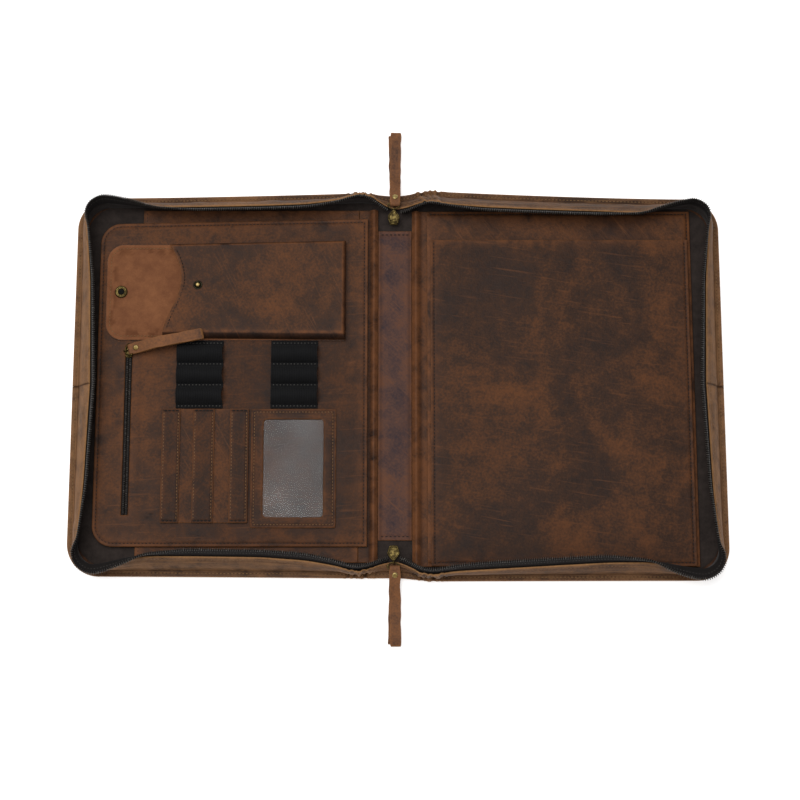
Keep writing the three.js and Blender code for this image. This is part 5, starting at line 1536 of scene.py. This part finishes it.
# Pulls: a wire ring through the eye, a leather strap folded round the ring's far side, and a
# domed rivet through both layers.
RING_LENGTH = 5
RING_WIRE = 0.55
STRAP_WIDTH = 9.4
STRAP_LEATHER = 1.5
STRAP_FOLD = 0.6 + 0.3 + STRAP_LEATHER / 2
STRAP_APART = (STRAP_LEATHER + 0.3) / 2
STRAP_CLOSING = 2.6
STRAP_PINCH = 0.9
UNDER_SHORTER = 2.4
STRAP_SKEW = 2.2
PULL_ASIDE = 1.2
PULL_LEAN = np.radians(0.6)
RIVET_FROM_FOLD = 5.4
POCKET_TURN = np.radians(11)
POCKET_EYE_BACK = 2.6
strap_leather = oiled_leather(
    "oiled cowhide of the straps", "#3a281f", "#5e402e", "#855838", "#a3713f", roughness=0.6, mottle=1.2
)


def pull_height(out, start, end, landing):
    """The height and slope of a strap's middle, which eases from start to end over landing."""
    t = np.clip(out / landing, 0, 1)
    return start + (end - start) * eased(t), np.arctan((end - start) * 6 * t * (1 - t) / landing)


def pull_ring(rise):
    """The wire ring: from the eye it widens to the strap's sides and crosses over its fold. rise is
    how much higher its far side lies."""
    near, far = 1.9, STRAP_WIDTH * STRAP_PINCH / 2 + 0.9
    corners = [
        (0.1, near), (2.6, far), (RING_LENGTH, far), (RING_LENGTH, -far), (2.6, -far), (0.1, -near),
    ]
    corners = cut_corners(np.array(corners), 0.16, 0.16, 0.16)
    return wire(np.c_[corners, rise * corners[:, 0] / RING_LENGTH], RING_WIRE)


def pull_strap(length, under, skew, route, seed):
    """A strap's upper and lower faces, as grids along it and across it, with the slack of a
    used strap: its sides curl by 0.35 mm and its edge wavers by 0.25 mm."""
    out_under = np.r_[np.arange(length - under, 3, -1.5), np.linspace(3, 0, 7)]
    out_over = np.r_[np.linspace(0, 3, 7), np.arange(4.5, length + 0.1, 1.5)]
    turn = np.pi * (1.5 - np.linspace(0, 1, 10)[1:-1])
    flat_line, side_shift, opened = [], [], []
    for out, above in ((out_under, -1), (out_over, 1)):
        height, slope = pull_height(out, *route)
        closing = eased(out / STRAP_CLOSING)
        apart = above * (STRAP_FOLD + (STRAP_APART - STRAP_FOLD) * closing)
        flat_line.append(np.stack([out - apart * np.sin(slope), height + apart * np.cos(slope)], -1))
        side_shift.append((skew if above < 0 else 0) * np.clip(out / length, 0, 1))
        opened.append(closing)
    bend = np.stack([STRAP_FOLD * np.cos(turn), route[0] + STRAP_FOLD * np.sin(turn)], -1)
    line = np.concatenate([flat_line[0], bend, flat_line[1]])
    shift = np.concatenate([side_shift[0], np.zeros(len(bend)), side_shift[1]])
    opened = np.concatenate([opened[0], np.zeros(len(bend)), opened[1]])
    is_upper = np.arange(len(line)) >= len(out_under) + len(bend) / 2
    half = STRAP_WIDTH / 2 * (STRAP_PINCH + (1 - STRAP_PINCH) * opened)
    travel = distances(line)
    v = np.r_[-1, -0.97, -0.9, -0.78, np.linspace(-0.6, 0.6, 7), 0.78, 0.9, 0.97, 1]
    slack = (opened > 0.99)[:, None]
    half = half[:, None] + 0.25 * waves(travel[:, None], 5, 13, seed) * slack
    from_end = np.minimum(travel, travel[-1] - travel)
    half = half - round_off(from_end, 0.4)[:, None]
    across = shift[:, None] + half * v[None]
    depth = np.minimum(half * (1 - np.abs(v))[None], np.maximum(from_end, 0.01)[:, None])
    normal = left_of(unit(np.gradient(line, axis=0)))
    puffed = 0.2 * (1 + waves(travel[:, None], v * 5, 18, seed + 1)) * opened[:, None]
    curl = (0.35 * v**2 * slack + puffed) * is_upper[:, None]
    edge = round_off(depth, 0.45)
    faces_at = []
    for way in (1, -1):
        lift = way * (STRAP_LEATHER / 2 - edge) + curl
        spot = line[:, None] + normal[:, None] * lift[..., None]
        faces_at.append(np.stack([spot[..., 0], across, spot[..., 1]], -1))
    return faces_at[0], faces_at[1], depth, travel


RIVET_PROFILE = [
    (0.1, 0), (2.3, 0), (2.5, 0.2), (2.45, 0.5), (2.2, 0.85), (1.7, 1.1), (1.3, 1.15), (1.05, 1.05),
    (0.7, 1.1), (0.1, 1.15),
]
RIVET_UNDER = [(0.1, -0.6), (1.6, -0.6), (2.0, -0.35), (2.0, 0), (0.1, 0)]


def pull(name, nodes, eye_at, angle, route, length, under, skew, seed, aside=0.0):
    """A ring, a strap and a rivet on an eye, lying in the direction of an angle, with the strap slid
    aside along the ring. They stand for three nodes."""
    ring_node, strap_node, rivet_node = nodes
    points, faces = pull_ring(route[0])
    points = turn_to(points, eye_at, angle)
    place(mesh_object(f"{name}_wire", points, faces, old_brass), "brass", ring_node)
    outside, inside, depth, travel = pull_strap(length, under, skew, route, seed)
    beyond = np.array([RING_LENGTH, aside, 0])
    points, faces = shell(outside + beyond, inside + beyond)
    depth = np.tile(depth, (2, 1))
    marks = marked(0.8 * np.exp(-depth / 1.1), 0.7 * np.clip(1 - depth / 0.3, 0, 1), 0)
    flat = np.tile(flat_cut(travel[:, None], outside[..., 1], 300.0 * seed), (2, 1))
    points = turn_to(points, eye_at, angle)
    strap = mesh_object(f"{name}_leather", points, faces, strap_leather, marks, flat)
    place(strap, "band_leather", strap_node)
    height, slope = (float(v) for v in pull_height(RIVET_FROM_FOLD, *route))
    domes = [
        loft(turned(profile, 28) + (0, 0, way * (STRAP_LEATHER + 0.3)))
        for profile, way in ((RIVET_PROFILE, 1), (RIVET_UNDER, -1))
    ]
    points, faces = merged(domes)
    x = points[:, 0] * np.cos(slope) - points[:, 2] * np.sin(slope) + RIVET_FROM_FOLD + RING_LENGTH
    z = points[:, 0] * np.sin(slope) + points[:, 2] * np.cos(slope) + height
    points = turn_to(np.stack([x, points[:, 1] + aside, z], -1), eye_at, angle)
    place(mesh_object(f"{name}_rivet", points, faces, bright_brass), "brass", rivet_node)


# moved is how far along y a slider lies from its solid, longer how far its strap reaches past its
# own solid
for seed, (name, end, moved, longer) in enumerate((("top", 1, 0, 0.8), ("bottom", -1, -1.6, 2.2))):
    box, low, high = box_mm(f"zip_slider_{name}")
    strap_box = box_mm(f"pull_strap_{name}")[0]
    angle = end * np.pi / 2
    wide_end = box[2] if end > 0 else box[3]
    middle = np.array([SLIDER_X, wide_end + end * SLIDER_LENGTH / 2 + moved, (low + high) / 2])
    eye_at = middle + (0, end * (SLIDER_LENGTH / 2 + EYE_FROM_NOSE), 0)
    points, faces = slider(SLIDER_LENGTH, SLIDER_WIDTH)
    parts = [(turn_to(points, middle, angle), faces), eye(eye_at, angle)]
    points, faces = merged(parts)
    place(mesh_object(f"slider_{name}", points, faces, old_brass), "brass", f"zip_slider_{name}")
    far_end = strap_box[3] if end > 0 else strap_box[2]
    length = abs(far_end - eye_at[1]) - RING_LENGTH + longer
    on_surface = STRAP_LEATHER + 0.15 - middle[2]
    nodes = (f"pull_ring_{name}", f"pull_strap_{name}", f"pull_rivet_{name}")
    pull(
        f"pull_{name}", nodes, eye_at, angle - end * PULL_LEAN, (0, on_surface, 31), length,
        UNDER_SHORTER, end * STRAP_SKEW, 201 + seed, aside=-end * PULL_ASIDE,
    )

box, low, _ = box_mm("pocket_zip_slider")
POCKET_SLIDER = (11, 7.4)
middle = np.array([box[1] - POCKET_SLIDER[1] / 2, (box[2] + box[3]) / 2, low + 2.3])
eye_at = middle + (-POCKET_EYE_BACK, 0, 2.3 + EYE_FROM_NOSE)
points, faces = slider(*POCKET_SLIDER)
points, faces = merged([(turn_to(points, middle, np.pi / 2), faces), eye(eye_at, POCKET_TURN)])
place(mesh_object("slider_pocket", points, faces, old_brass), "brass", "pocket_zip_slider")
on_pocket = pocket_high + 0.3 + STRAP_LEATHER + 0.15 - eye_at[2]
nodes = ("pocket_pull_ring", "pocket_pull_strap", "pocket_pull_rivet")
pull("pull_pocket", nodes, eye_at, POCKET_TURN, (2.4, on_pocket, 28), 65, 0, 0, 205)
